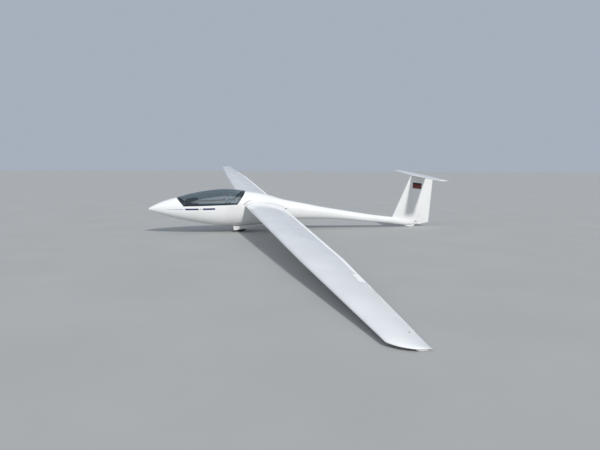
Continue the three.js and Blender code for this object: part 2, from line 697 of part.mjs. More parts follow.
function addWheel() {
  const { radius, crown, bead, sides } = WHEEL;
  const ring = [];
  for (let degrees = -120; degrees <= 120; degrees += 24) {
    const angle = THREE.MathUtils.degToRad(degrees);
    ring.push(new THREE.Vector2(radius - crown + crown * Math.cos(angle), crown * Math.sin(angle)));
  }
  ring.push(new THREE.Vector2(bead, 40), new THREE.Vector2(bead, -40));
  ring.push(ring[0].clone());
  const tyre = new THREE.LatheGeometry(ring, sides).rotateY(Math.PI / sides);
  const axle = [[WHEEL.x, 0, WHEEL.z], [WHEEL.x, 1, WHEEL.z]];
  const place = axle[0];
  piece('main_tyre', facingOut(tyre), 'rubber', { place, line: axle });
  const bore = FORK.axle + FIT;
  const rim = bead - FIT;
  const hub = [[bore, -46], [30, -46], [34, -20], [60, -16], [66, -38], [rim, -38], [rim, 38],
    [66, 38], [60, 16], [34, 20], [30, 46], [bore, 46], [bore, -46]];
  const hubGeometry = new THREE.LatheGeometry(hub.map(([r, y]) => new THREE.Vector2(r, y)), 24);
  piece('main_wheel_hub', facingOut(hubGeometry), 'alloy', { place });
}

function facingOut(geometry) {
  return solid(geometry).volume() > 0 ? geometry : flipped(geometry);
}

function addLeg() {
  const { inner, outer, axle, boss, top, tube } = FORK;
  const axleEnds = [-outer - 3, outer + 3].map((y) => [WHEEL.x, y, WHEEL.z]);
  piece('main_axle', bar(...axleEnds, axle, axle, 24), 'steel');
  const room = bayPlan(FIT, 100, BAY.roof - FIT);
  let fork = bar([top[0], -200, top[1]], [top[0], 200, top[1]], tube, tube, 16).intersect(room);
  for (const side of [-1, 1]) {
    const [low, high] = side < 0 ? [-outer, -inner] : [inner, outer];
    const leg = profile([[WHEEL.x - 17, WHEEL.z], [WHEEL.x + 17, WHEEL.z - 8], [top[0] + 17, top[1] - 4],
      [top[0] - 17, top[1] + 4]], low, high);
    fork = fork.add(leg).add(bar([WHEEL.x, low, WHEEL.z], [WHEEL.x, high, WHEEL.z], boss, boss, 20))
      .add(bar([top[0], low, top[1]], [top[0], high, top[1]], 19, 19, 16));
  }
  const bore = bar([WHEEL.x, -200, WHEEL.z], [WHEEL.x, 200, WHEEL.z], axle + FIT, axle + FIT, 24);
  piece('gear_fork', fork.subtract(bore), 'steel');
  const strut = bar([top[0] + 16, 0, top[1] - 3], [BAY.rear - FIT - 4, 0, 330], 11, 11, 14);
  const foot = block([BAY.rear - FIT - 14, -34, 300], [BAY.rear - FIT, 34, 360]);
  piece('drag_strut', strut.add(foot), 'steel');
}

// Gear doors: cut from the belly skin, then turned down about the edge of the bay

const DOOR_OPEN = 90;

function doorHinge(side) {
  return [[BAY.front + DOOR.gap, BAY.frontHalf], [BAY.rear - DOOR.gap, BAY.rearHalf]].map(([x, half]) => (
    new THREE.Vector3(x, side * half, skinBottom(x, half) + DOOR.thickness / 2 - DOOR.drop)));
}

// A block whose sides run along a door's hinge line, inwards from it and upwards
function blockAtHinge(side, share, low, high) {
  const [front, rear] = doorHinge(side);
  const along = rear.clone().sub(front).normalize();
  const inward = new THREE.Vector3(0, -side, 0).addScaledVector(along, side * along.y).normalize();
  const up = new THREE.Vector3().crossVectors(along, inward).multiplyScalar(-side);
  const geometry = new THREE.BoxGeometry(...high.map((value, i) => value - low[i]));
  geometry.translate(...high.map((value, i) => (value + low[i]) / 2));
  geometry.applyMatrix4(new THREE.Matrix4().makeBasis(along, inward, up));
  const at = front.clone().lerp(rear, share);
  geometry.translate(at.x, at.y, at.z);
  return side < 0 ? solid(geometry) : solid(flipped(geometry));
}

const DOOR_HINGE = { shares: [0.14, 0.86], radius: 5, pin: 2, half: 7, knuckle: 12 };

function doorHingeBar(side, share, low, high, radius) {
  const [front, rear] = doorHinge(side);
  const along = rear.clone().sub(front).normalize();
  const middle = front.clone().lerp(rear, share);
  const ends = [low, high].map((shift) => middle.clone().addScaledVector(along, shift).toArray());
  return bar(...ends, radius, radius, 10);
}

// Lugs that hang from the edge of the bay, one for each pin of the doors
function doorLugs(side) {
  const { shares, radius, pin, half } = DOOR_HINGE;
  return shares.map((share) => doorHingeBar(side, share, -half, half, radius)
    .add(blockAtHinge(side, share, [-half, -10, -2], [half, -0.5, 18]))
    .subtract(doorHingeBar(side, share, -20, 20, pin + FIT)));
}

function doorKnuckles(side) {
  const { shares, radius, pin, half, knuckle } = DOOR_HINGE;
  const parts = shares.flatMap((share) => [
    doorHingeBar(side, share, -half - 3, half + 3, pin),
    ...[[-half - 1 - knuckle, -half - 1], [half + 1, half + 1 + knuckle]].flatMap(([low, high]) => [
      doorHingeBar(side, share, low, high, radius),
      blockAtHinge(side, share, [low, -1, -16], [high, 10, 1]),
    ]),
  ]);
  return parts.reduce((sum, part) => sum.add(part));
}

function addDoor(side, label) {
  const shell = skin(0, 1700, 2500).subtract(skin(DOOR.thickness, 1690, 2510));
  const half = block([0, Math.min(side, side * 400), 0], [4000, Math.max(side, side * 400), 400]);
  const closed = shell.intersect(bayPlan(DOOR.gap, 0, 300, DOOR.gap + 3)).intersect(half);
  const [front, rear] = doorHinge(side);
  const axis = rear.clone().sub(front).normalize();
  const turn = new THREE.Matrix4().makeRotationAxis(axis, side * THREE.MathUtils.degToRad(DOOR_OPEN));
  const geometry = geometryOf(closed).translate(-front.x, -front.y, -front.z).applyMatrix4(turn);
  geometry.translate(front.x, front.y, front.z);
  const door = solid(geometry).add(doorKnuckles(side));
  piece(`gear_door_${label}`, door, 'gelcoat', { line: [front.toArray(), rear.toArray()] });
}

function addHook() {
  const body = block([HOOK.x[0], -HOOK.half, HOOK.low], [HOOK.x[1], HOOK.half, HOOK.high]);
  piece('tow_hook', body, 'steel');
}

// Assembly

let hull = hullShell();
hull = addTail(hull);
addTailSkid(hull);
hull = addCanopy(hull);
for (const side of [-1, 1]) {
  for (const share of DOOR_HINGE.shares) {
    hull = hull.subtract(doorHingeBar(side, share, -24, 24, DOOR_HINGE.radius + 3));
  }
  for (const lug of doorLugs(side)) {
    hull = hull.add(lug);
  }
}
piece('fuselage', largest(hull), 'gelcoat');
addWing(-1, 'left');
addWing(1, 'right');
addSeat();
addInstruments();
addControls();
addWheel();
addLeg();
addDoor(-1, 'left');
addDoor(1, 'right');
addHook();

// The attitude on the ground: turned until tyre, tail skid and port tip skid are equally low

const level = new THREE.Group();
level.name = 'level_frame';
for (const { name, geometry, paint, place, line } of pieces) {
  const mesh = new THREE.Mesh(geometry, new THREE.MeshStandardMaterial(PAINTS[paint]));
  mesh.name = name;
  mesh.userData.line = line;
  if (place) {
    mesh.position.set(...place);
  }
  level.add(mesh);
}

function standOnGround(frame) {
  const skidPoint = new THREE.Vector3(TAIL_SKID.x, -TAIL_SKID.half, 0);
  const tipPoint = new THREE.Vector3(TIP_SKID.x[1] - 15, -(TIP_SKID.distance + TIP_SKID.half), TIP_SKID.low);
  const hubPoint = new THREE.Vector3(WHEEL.x, 0, WHEEL.z);
  for (let round = 0; round < 12; round++) {
    frame.updateMatrixWorld(true);
    const down = new THREE.Vector3(0, -1, 0).applyEuler(frame.rotation);
    const lean = Math.asin(-down.z);
    const tyreLow = hubPoint.clone().applyMatrix4(frame.matrixWorld).z
      - (WHEEL.radius - WHEEL.crown) * Math.cos(lean) - WHEEL.crown;
    const skidLow = skidPoint.clone().applyMatrix4(frame.matrixWorld).z;
    const tipLow = tipPoint.clone().applyMatrix4(frame.matrixWorld).z;
    frame.rotation.x += (tipLow - tyreLow) / -tipPoint.y;
    frame.rotation.y += (skidLow - tyreLow) / (skidPoint.x - hubPoint.x);
  }
}

standOnGround(level);
const heading = new THREE.Group();
heading.rotation.z = Math.PI;
heading.add(level);
const glider = new THREE.Group();
glider.name = 'sailplane';
glider.add(heading);
glider.updateMatrixWorld(true);
const box = new THREE.Box3().setFromObject(glider, true);
heading.position.set(-(box.min.x + box.max.x) / 2, -(box.min.y + box.max.y) / 2, -box.min.z);
glider.updateMatrixWorld(true);

export default glider;
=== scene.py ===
# Looks of a single-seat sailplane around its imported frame. Lengths are in metres.
# Shapes are drawn in the level frame: X aft from the nose tip, Y to starboard, Z up from the plane under the
# wheel and the tail skid. The joints of the frame say how that frame lies in the row frame.

import json
import math

import bmesh
import bpy
import numpy as np
from mathutils import Matrix, Vector


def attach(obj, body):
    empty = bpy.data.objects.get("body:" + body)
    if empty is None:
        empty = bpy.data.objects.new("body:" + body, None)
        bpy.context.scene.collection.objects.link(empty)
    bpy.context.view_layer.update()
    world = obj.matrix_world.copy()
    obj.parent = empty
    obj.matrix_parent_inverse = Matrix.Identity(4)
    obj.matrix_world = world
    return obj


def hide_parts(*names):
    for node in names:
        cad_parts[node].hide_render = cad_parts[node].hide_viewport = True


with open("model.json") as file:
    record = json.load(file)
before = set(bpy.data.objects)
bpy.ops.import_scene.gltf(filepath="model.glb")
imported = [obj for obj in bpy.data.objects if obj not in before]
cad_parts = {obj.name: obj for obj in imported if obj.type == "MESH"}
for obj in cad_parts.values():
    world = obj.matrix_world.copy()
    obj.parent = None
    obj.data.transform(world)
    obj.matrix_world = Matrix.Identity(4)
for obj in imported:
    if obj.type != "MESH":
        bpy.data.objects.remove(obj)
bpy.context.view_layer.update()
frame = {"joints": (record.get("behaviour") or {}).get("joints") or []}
joints = {joint["name"]: joint for joint in frame["joints"]}
scene = bpy.context.scene

# Driving dimensions

MM = 0.001
FIT = 0.3 * MM
WALL = 0.020
GLASS = 0.005
HALF_SPAN = 7.5
ROOT_Y = 0.330
CONTROL_GAP = 0.0025
WHEEL_X, WHEEL_Z = 2.040, 0.175
NOSE_SHARE = 0.97
GAP_OVERRUN = 0.02
SIDES = ((-1, "left"), (1, "right"))
AFT, ACROSS, UP = (1, 0, 0), (0, 1, 0), (0, 0, 1)

# Fuselage sections: station, top, bottom, half width, height of the widest point
FUSELAGE = np.array([
    [0, 570, 554, 8, 562],
    [35, 604, 538, 38, 564],
    [110, 648, 507, 84, 567],
    [240, 709, 459, 140, 571],
    [420, 771, 400, 194, 576],
    [607, 821, 347, 236, 581],
    [850, 889, 291, 275, 586],
    [1150, 949, 229, 305, 589],
    [1420, 986, 189, 322, 591],
    [1690, 1000, 168, 328, 592],
    [1950, 980, 158, 324, 593],
    [2200, 943, 160, 308, 588],
    [2450, 902, 173, 280, 576],
    [2700, 845, 196, 244, 556],
    [2980, 756, 238, 205, 526],
    [3360, 676, 268, 168, 486],
    [3900, 566, 258, 143, 418],
    [4480, 462, 229, 121, 348],
    [5170, 345, 154, 99, 252],
    [5760, 266, 96, 82, 182],
    [6250, 214, 40, 64, 128],
    [6560, 180, 50, 34, 112],
]) * MM
UPPER_ROUND, LOWER_ROUND = 2.05, 2.3

# Wing sections: distance from the centre, leading edge, chord, leading edge's height, thickness, incidence
WING = np.array([
    [0.330, 2.090, 0.876, 0.663, 0.165, 3.8],
    [4.823, 2.181, 0.641, 0.741, 0.155, 3.3],
    [7.321, 2.270, 0.341, 0.785, 0.14, 3.0],
    [7.400, 2.325, 0.278, 0.786, 0.13, 3.0],
    [7.465, 2.405, 0.194, 0.787, 0.12, 3.0],
    [7.500, 2.505, 0.091, 0.787, 0.1, 3.0],
])
WING_CAMBER = 0.028
TIP_FROM = 2
AILERON = {"inner": 5.480, "outer": 7.180, "hinge": 0.78}
AIRBRAKE = {"inner": 2.350, "outer": 3.650, "chord": 0.52, "thickness": 0.014, "height": 0.074, "gap": 0.006,
            "raised": 0.004}
CAP = {"grow": 0.0045, "thickness": 0.003}

# Tailplane sections: distance from the centre, leading edge, chord, thickness
TAILPLANE = np.array([
    [0, 6.290, 0.412, 0.115],
    [1.110, 6.388, 0.258, 0.105],
    [1.150, 6.404, 0.230, 0.095],
    [1.166, 6.430, 0.178, 0.07],
])
TAILPLANE_Z = 1.308
TAILPLANE_SEAT = TAILPLANE_Z - 0.008
ELEVATOR = {"hinge": 6.583, "end": 1.170}

# Fin with its rudder: height, leading edge, trailing edge, thickness
FIN = np.array([
    [0.030, 5.763, 6.877, 0.088],
    [1.330, 6.298, 6.905, 0.105],
])
RUDDER = {"low": (6.575, 0, 0.030), "high": (6.700, 0, 1.250), "radii": (0.033, 0.017), "top": 1.250}
FIN_STEP = 6.562

SILL = [(0.754, 0.654), (1.915, 0.686)]
CANOPY_TOP = [(0.361, 1.100), (2.241, 1.100)]
CANOPY_FRAME = {"width": 0.034, "depth": 0.017}
CANOPY_HINGE = {"front": 1.250, "rear": 1.780, "out": 0.008, "knuckle": 0.007, "pin": 0.003, "length": 0.046,
                "room": 0.002, "end_room": 0.004, "half": 0.011}
BAY = {"front": 1.842, "rear": 2.347, "front_half": 0.115, "rear_half": 0.072, "roof": 0.430}
HOOK = {"x": (1.700, 1.790), "half": 0.016, "high": 0.216}
LUG = {"thickness": 0.008, "slot": 0.018, "radius": 0.007, "pin": 0.003, "overlap": 0.007, "room": 0.0015,
       "neck": 0.8}

# The level frame, found from the wheel's axis and the two airbrakes' ways out

across = Vector(joints["wheel_spin"]["axis"]).normalized()
upward = Vector(joints["airbrake_left_rise"]["axis"]) + Vector(joints["airbrake_right_rise"]["axis"])
upward.normalize()
TURN = Matrix((across.cross(upward).normalized(), across, upward)).transposed()
ORIGIN = Vector(joints["wheel_spin"]["pos_m"]) - TURN @ Vector((WHEEL_X, 0, WHEEL_Z))
LEVEL = Matrix.Translation(ORIGIN) @ TURN.to_4x4()


# Smooth curves and tables

class Spline:
    """A natural cubic spline through points."""

    def __init__(self, xs, ys):
        self.xs, self.ys = np.array(xs, float), np.array(ys, float)
        count = len(self.xs)
        steps = np.diff(self.xs)
        rows, right = np.eye(count), np.zeros(count)
        for i in range(1, count - 1):
            rows[i, i - 1:i + 2] = steps[i - 1], 2 * (steps[i - 1] + steps[i]), steps[i]
            slopes = np.diff(self.ys[i - 1:i + 2]) / steps[i - 1:i + 1]
            right[i] = 6 * (slopes[1] - slopes[0])
        self.bends = np.linalg.solve(rows, right)

    def __call__(self, x):
        x = np.clip(x, self.xs[0], self.xs[-1])
        i = np.clip(np.searchsorted(self.xs, x) - 1, 0, len(self.xs) - 2)
        step = self.xs[i + 1] - self.xs[i]
        a, b = (self.xs[i + 1] - x) / step, (x - self.xs[i]) / step
        curve = ((a ** 3 - a) * self.bends[i] + (b ** 3 - b) * self.bends[i + 1]) * step ** 2 / 6
        return a * self.ys[i] + b * self.ys[i + 1] + curve


class Line:
    """A smooth line through (x, z) points, measured by its length."""

    def __init__(self, points, step):
        lengths = np.concatenate([[0], np.cumsum([math.dist(a, b) for a, b in zip(points, points[1:])])])
        self.x, self.z = (Spline(lengths, [point[i] for point in points]) for i in (0, 1))
        self.end, self.step = float(lengths[-1]), step

    def at(self, s, lift=0.0):
        """The place at a length along the line, lifted square to it."""
        dx, dz = (float(way(s + self.step) - way(s - self.step)) for way in (self.x, self.z))
        length = math.hypot(dx, dz)
        return float(self.x(s)) - lift * dz / length, float(self.z(s)) + lift * dx / length


def row_at(table, place):
    """The values of a table at a place between its rows."""
    return [float(np.interp(place, table[:, 0], column)) for column in table.T[1:]]


def turns(count):
    """Angles of a full turn in even steps."""
    return np.linspace(0, 2 * math.pi, count, endpoint=False)


def bent(value, power):
    """A number raised to a power, with its sign kept."""
    return math.copysign(abs(value) ** power, value)


roots = np.sqrt(FUSELAGE[:, 0])
HULL_CURVES = [Spline(roots, FUSELAGE[:, column]) for column in range(1, 5)]
HULL_ROOTS = np.linspace(0, math.sqrt(FUSELAGE[-1, 0]), 150)


def station(x):
    """Top, bottom, half width and height of the widest point of the fuselage at x."""
    root = math.sqrt(max(x, 0))
    return [float(curve(root)) for curve in HULL_CURVES]


def ring(x, inset=0.0, sides=128):
    """Points of the fuselage's section at x, from starboard over the top."""
    top, bottom, half, widest = station(x)
    points = []
    for i in range(sides):
        angle = 2 * math.pi * i / sides
        sine, cosine = math.sin(angle), math.cos(angle)
        power = 2 / (UPPER_ROUND if sine > 0 else LOWER_ROUND)
        rise = (top - widest if sine > 0 else widest - bottom) - inset
        points.append((x, (half - inset) * bent(cosine, power), widest + rise * bent(sine, power)))
    return points


def quarter(x, z):
    """Half width at x, distance of z from the widest point, and rise and roundness of that part."""
    top, bottom, half, widest = station(x)
    if z > widest:
        return half, z - widest, top - widest, UPPER_ROUND
    return half, widest - z, widest - bottom, LOWER_ROUND


def skin_half(x, z, inset=0.0):
    """Half width of the fuselage at x and height z."""
    half, off, rise, power = quarter(x, z)
    share = min(1, off / (rise - inset))
    return (half - inset) * (1 - share ** power) ** (1 / power)


def skin_top(x, y):
    top, _, half, widest = station(x)
    return widest + (top - widest) * (1 - (abs(y) / half) ** UPPER_ROUND) ** (1 / UPPER_ROUND)


# Meshes

def new_object(points, faces):
    mesh = bpy.data.meshes.new("shape")
    mesh.from_pydata([tuple(point) for point in points], [], faces)
    mesh.validate()
    thing = bpy.data.objects.new("shape", mesh)
    scene.collection.objects.link(thing)
    return thing


def edited(thing, work):
    """Changes a thing's mesh by a function of its bmesh."""
    sheet = bmesh.new()
    sheet.from_mesh(thing.data)
    work(sheet)
    sheet.to_mesh(thing.data)
    sheet.free()
    return thing


def face_out(thing):
    """Turns the faces of a closed mesh outwards."""
    def work(sheet):
        bmesh.ops.recalc_face_normals(sheet, faces=sheet.faces)
        if sheet.calc_volume(signed=True) < 0:
            bmesh.ops.reverse_faces(sheet, faces=sheet.faces)
    return edited(thing, work)


def weld(thing, distance=1e-6):
    return edited(thing, lambda sheet: bmesh.ops.remove_doubles(sheet, verts=sheet.verts, dist=distance))


def loft(rings, closed=False):
    """A skin through rings of equal point counts, with a fan at each end, or closed on itself."""
    rings = [*rings, rings[0]] if closed else rings
    count = len(rings[0])
    points = [point for each in rings for point in each]
    faces = []
    for row in range(len(rings) - 1):
        for i in range(count):
            a, b = row * count + i, row * count + (i + 1) % count
            faces.append((a, b, b + count, a + count))
    if closed:
        return face_out(weld(new_object(points, faces)))
    for row in (0, len(rings) - 1):
        points.append(tuple(np.mean(np.array(rings[row]), axis=0)))
        faces += [(len(points) - 1, row * count + i, row * count + (i + 1) % count) for i in range(count)]
    return face_out(new_object(points, faces))


def solid(outlines):
    """A closed mesh between two outlines of equal point counts."""
    count = len(outlines[0])
    faces = [tuple(range(count)), tuple(range(count, 2 * count))]
    faces += [(i, (i + 1) % count, count + (i + 1) % count, count + i) for i in range(count)]
    return face_out(new_object(outlines[0] + outlines[1], faces))


def slab(surface, us, vs, lifts):
    """A closed skin between two lifts of a surface(u, v, lift)."""
    points = [tuple(surface(u, v, lift)) for lift in lifts for u in us for v in vs]
    wide, count = len(vs), len(us) * len(vs)
    faces = [(a, a + wide, a + wide + 1, a + 1) for a in range(count - wide) if (a + 1) % wide]
    faces += [tuple(count + i for i in face[::-1]) for face in faces]
    rim = [*range(0, count, wide), *range(count - wide + 1, count),
           *range(count - wide - 1, wide - 2, -wide), *range(wide - 2, 0, -1)]
    faces += [(a, b, b + count, a + count) for a, b in zip(rim, rim[1:] + rim[:1])]
    return face_out(new_object(points, faces))


def prism(outline, low, high):
    """A side-view outline of (x, z) points, run across from y low to y high."""
    return solid([[(x, y, z) for x, z in outline] for y in (low, high)])


def block(low, high):
    (x0, y0, z0), (x1, y1, z1) = low, high
    return prism([(x0, z0), (x1, z0), (x1, z1), (x0, z1)], y0, y1)


def oriented_block(origin, along, out, low, high):
    """A block whose own axes are along, out and their cross product."""
    along, out = Vector(along).normalized(), Vector(out)
    out = (out - along * out.dot(along)).normalized()
    basis = Matrix((along, out, along.cross(out))).transposed()
    made = block(low, high)
    made.data.transform(Matrix.Translation(Vector(origin)) @ basis.to_4x4())
    return made


def spar(stations, grow=0, sides=48):
    """A round bar through stations of (point, radius) on one straight line."""
    turn = (Vector(stations[-1][0]) - Vector(stations[0][0])).to_track_quat("Z", "Y")
    rings = []
    for point, radius in stations:
        size = radius + grow
        rings.append([tuple(Vector(point) + turn @ Vector((size * math.cos(a), size * math.sin(a), 0)))
                      for a in turns(sides)])
    return loft(rings)


def bar(start, end, radius, radius_end=None, sides=32):
    """A round bar between two points."""
    return spar([(start, radius), (end, radius if radius_end is None else radius_end)], 0, sides)


def tube(path, radius, sides):
    """A round tube along a closed list of points."""
    path = [Vector(point) for point in path]
    rings, normal = [], None
    for i, point in enumerate(path):
        along = (path[(i + 1) % len(path)] - path[i - 1]).normalized()
        normal = along.orthogonal().normalized() if normal is None else normal
        normal = (normal - along * normal.dot(along)).normalized()
        side = along.cross(normal)
        rings.append([tuple(point + radius * (math.cos(a) * normal + math.sin(a) * side))
                      for a in turns(sides)])
    return loft(rings, closed=True)


def lathe(outline, centre, axis=ACROSS, sides=64):
    """A closed outline of (radius, height) points turned about an axis through centre."""
    turn = Vector(axis).to_track_quat("Z", "Y")
    return loft([[tuple(Vector(centre) + turn @ Vector((r * math.cos(a), r * math.sin(a), h)))
                  for r, h in outline] for a in turns(sides)], closed=True)


def evaluated(thing):
    """Applies a thing's modifiers."""
    graph = bpy.context.evaluated_depsgraph_get()
    mesh = bpy.data.meshes.new_from_object(thing.evaluated_get(graph))
    thing.modifiers.clear()
    thing.data = mesh
    return thing


def boolean(thing, cutter, operation="DIFFERENCE", keep=False):
    """Cuts, joins or intersects a closed mesh with another, which goes away after it."""
    change = thing.modifiers.new("change", "BOOLEAN")
    change.operation = operation
    change.solver = "MANIFOLD"
    change.object = cutter
    evaluated(thing)
    if not keep:
        bpy.data.objects.remove(cutter)
    return thing


def union(thing, other):
    return boolean(thing, other, "UNION")


def common(thing, other):
    return boolean(thing, other, "INTERSECT")


def copy_of(thing):
    twin = thing.copy()
    twin.data = thing.data.copy()
    scene.collection.objects.link(twin)
    return twin


def joined(things):
    """One object from several, whose solids don't merge."""
    points, faces = [], []
    for thing in things:
        base = len(points)
        points += [tuple(vertex.co) for vertex in thing.data.vertices]
        faces += [tuple(base + i for i in polygon.vertices) for polygon in thing.data.polygons]
        bpy.data.objects.remove(thing)
    return new_object(points, faces)


def rounded(thing, width, segments=2, angle=40):
    """Rounds the edges that are sharper than an angle."""
    change = thing.modifiers.new("round", "BEVEL")
    change.width = width
    change.segments = segments
    change.limit_method = "ANGLE"
    change.angle_limit = math.radians(angle)
    change.use_clamp_overlap = True
    return evaluated(thing)


def shade_smooth(thing):
    for polygon in thing.data.polygons:
        polygon.use_smooth = True


def piece(thing, name, look, body="airframe", stands_for=None, slot=None, sharp=32, level=True):
    """Names a piece, gives it its look and puts it on its body."""
    thing.name = name
    thing.data.name = name
    if level:
        thing.data.transform(LEVEL)
    shade_smooth(thing)
    thing.data.set_sharp_from_angle(angle=math.radians(sharp))
    finish, own_slot = look
    thing.data.materials.clear()
    thing.data.materials.append(finish)
    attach(thing, body)
    slot or own_slot
    if stands_for:
        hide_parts(stands_for)
    return thing


# Materials

def material(name, colour, roughness, metallic=0.0):
    made = bpy.data.materials.new(name)
    made.use_nodes = True
    shader = made.node_tree.nodes["Principled BSDF"]
    shader.inputs["Base Color"].default_value = (*colour, 1)
    shader.inputs["Roughness"].default_value = roughness
    shader.inputs["Metallic"].default_value = metallic
    return made, made.node_tree, shader


def node(tree, kind, *values, **settings):
    """A shader node with its settings, and values for its sockets in turn; None leaves one as it is."""
    made = tree.nodes.new("ShaderNode" + kind)
    for key, value in settings.items():
        if hasattr(made, key):
            setattr(made, key, value)
        else:
            made.inputs[key.replace("_", " ")].default_value = value
    for i, value in enumerate(values):
        if value is not None:
            made.inputs[i].default_value = value
    return made


def wire(tree, source, output, target, socket):
    tree.links.new(source.outputs[output], target.inputs[socket])


def noise(tree, scale, detail=4.0, stretch=(1, 1, 1)):
    """A noise in the object's own coordinates, stretched along the axes."""
    place = node(tree, "TexCoord")
    mapping = node(tree, "Mapping", Scale=stretch)
    cloud = node(tree, "TexNoise", Scale=scale, Detail=detail)
    wire(tree, place, "Object", mapping, "Vector")
    wire(tree, mapping, "Vector", cloud, "Vector")
    return cloud


def tinted(tree, shader, source, dark, light, low=0.35, high=0.65):
    """Colours a shader between two tones by a noise."""
    ramp = node(tree, "ValToRGB")
    for element, place, colour in zip(ramp.color_ramp.elements, (low, high), (dark, light)):
        element.position = place
        element.color = (*colour, 1)
    wire(tree, source, "Fac", ramp, "Fac")
    wire(tree, ramp, "Color", shader, "Base Color")


def varied(tree, shader, source, low, high):
    """Drives a shader's roughness between two values by a noise."""
    span = node(tree, "MapRange", From_Min=0.3, From_Max=0.7, To_Min=low, To_Max=high)
    wire(tree, source, "Fac", span, "Value")
    wire(tree, span, "Result", shader, "Roughness")


def bumped(tree, shader, source, distance, strength, output="Fac"):
    bump = node(tree, "Bump", Strength=strength, Distance=distance)
    wire(tree, source, output, bump, "Height")
    wire(tree, bump, "Normal", shader, "Normal")


def gelcoat(name, dark, light):
    """Polished white gelcoat with faint sanding waves and a little dust."""
    made, tree, shader = material(name, light, 0.16)
    shader.inputs["Coat Weight"].default_value = 0.6
    shader.inputs["Coat Roughness"].default_value = 0.06
    tinted(tree, shader, noise(tree, 1.7, 5), dark, light)
    varied(tree, shader, noise(tree, 5.5, 6), 0.13, 0.26)
    bumped(tree, shader, noise(tree, 2.2, 1.5), 0.0008, 0.12)
    return made, "gelcoat"


def acrylic(name):
    """Smoke tinted acrylic: see-through when faced, a mirror at a glancing angle."""
    made, tree, shader = material(name, (0.1, 0.12, 0.13), 0.02)
    clear = node(tree, "BsdfTransparent", Color=(0.70, 0.745, 0.765, 1))
    gloss = node(tree, "BsdfGlossy", Roughness=0.02, Color=(0.95, 0.98, 1.0, 1))
    facing = node(tree, "LayerWeight", Blend=0.5)
    steep = node(tree, "Math", None, 4.0, operation="POWER")
    shine = node(tree, "Math", None, 0.9, 0.055, operation="MULTIPLY_ADD")
    mix = node(tree, "MixShader")
    wire(tree, facing, "Facing", steep, 0)
    wire(tree, steep, "Value", shine, 0)
    wire(tree, shine, "Value", mix, "Fac")
    wire(tree, clear, "BSDF", mix, 1)
    wire(tree, gloss, "BSDF", mix, 2)
    wire(tree, mix, "Shader", tree.nodes["Material Output"], "Surface")
    tree.nodes.remove(shader)
    return made, "canopy_pane"


def speckled(name, slot, base, fleck, roughness=0.55):
    """Cockpit paint sprayed over with fine flecks."""
    made, tree, shader = material(name, base, roughness)
    tinted(tree, shader, noise(tree, 420, 2), fleck, base, 0.36, 0.46)
    bumped(tree, shader, noise(tree, 320, 2), 0.0004, 0.5)
    return made, slot


def matt(name, slot, dark, light, roughness):
    made, tree, shader = material(name, light, roughness)
    tinted(tree, shader, noise(tree, 14, 4), dark, light)
    bumped(tree, shader, noise(tree, 90, 5), 0.0003, 0.4)
    varied(tree, shader, noise(tree, 22, 4), roughness - 0.08, roughness + 0.1)
    return made, slot


def fabric(name, dark, light, pitch=900.0):
    """A plain weave: warp and weft waves across each other."""
    made, tree, shader = material(name, light, 0.9)
    shader.inputs["Sheen Weight"].default_value = 0.35
    shader.inputs["Sheen Roughness"].default_value = 0.5
    place = node(tree, "TexCoord")
    both = node(tree, "Math", operation="MULTIPLY")
    for i, direction in enumerate("XY"):
        wave = node(tree, "TexWave", wave_type="BANDS", bands_direction=direction, Scale=pitch)
        wire(tree, place, "Object", wave, "Vector")
        wire(tree, wave, "Fac", both, i)
    bumped(tree, shader, both, 0.0006, 0.5, "Value")
    tinted(tree, shader, noise(tree, 40, 6), dark, light)
    return made, "cushion"


def metal(name, slot, dark, light, roughness):
    """Satin metal with fine brushing and a few darker stains."""
    made, tree, shader = material(name, light, roughness, 1.0)
    tinted(tree, shader, noise(tree, 26, 6), dark, light)
    varied(tree, shader, noise(tree, 60, 4, (1, 1, 12)), roughness - 0.1, roughness + 0.15)
    bumped(tree, shader, noise(tree, 180, 3, (1, 1, 10)), 0.0002, 0.3)
    return made, slot


def rubber(name, slot):
    """Black rubber, greyer with dust in patches."""
    made, tree, shader = material(name, (0.03, 0.03, 0.03), 0.82)
    tinted(tree, shader, noise(tree, 18, 8), (0.018, 0.018, 0.019), (0.075, 0.07, 0.062), 0.4, 0.75)
    bumped(tree, shader, noise(tree, 140, 6), 0.0008, 0.5)
    return made, slot


# Each look is a material and the record's slot of the pieces that have it

GELCOAT = gelcoat("gelcoat_white", (0.80, 0.80, 0.785), (0.87, 0.87, 0.86))
INSIDE = matt("laminate_inside", "gelcoat", (0.50, 0.51, 0.50), (0.62, 0.63, 0.62), 0.6)
CANOPY_GLASS = acrylic("canopy_acrylic")
TRIM = matt("black_trim", "dark_trim", (0.014, 0.014, 0.016), (0.026, 0.026, 0.03), 0.5)
HOOD = matt("hood_cover", "dark_trim", (0.055, 0.055, 0.06), (0.08, 0.08, 0.086), 0.7)
# Dark seal for the joints; the same paint is painted shade in the openings on the hull's side
SEAL_AND_SHADE = matt("dark_seal_and_shade", "gelcoat", (0.02, 0.02, 0.022), (0.05, 0.05, 0.052), 0.8)
COCKPIT = speckled("cockpit_paint", "cockpit_shell", (0.58, 0.60, 0.61), (0.36, 0.375, 0.39))
CUSHION = fabric("cushion_cloth", (0.20, 0.30, 0.38), (0.34, 0.45, 0.53))
HEADREST = fabric("headrest_cloth", (0.42, 0.55, 0.62), (0.62, 0.74, 0.80))
WEBBING = fabric("harness_webbing", (0.03, 0.05, 0.16), (0.05, 0.08, 0.24), 1500.0)
RUBBER = rubber("tyre_rubber", "tyre")
ALLOY = metal("satin_alloy", "alloy", (0.48, 0.49, 0.50), (0.72, 0.73, 0.74), 0.38)
STEEL = metal("zinc_steel", "steel", (0.30, 0.31, 0.32), (0.56, 0.57, 0.58), 0.42)
NAVY_VINYL = matt("navy_vinyl", "gelcoat", (0.008, 0.014, 0.075), (0.012, 0.02, 0.11), 0.32)
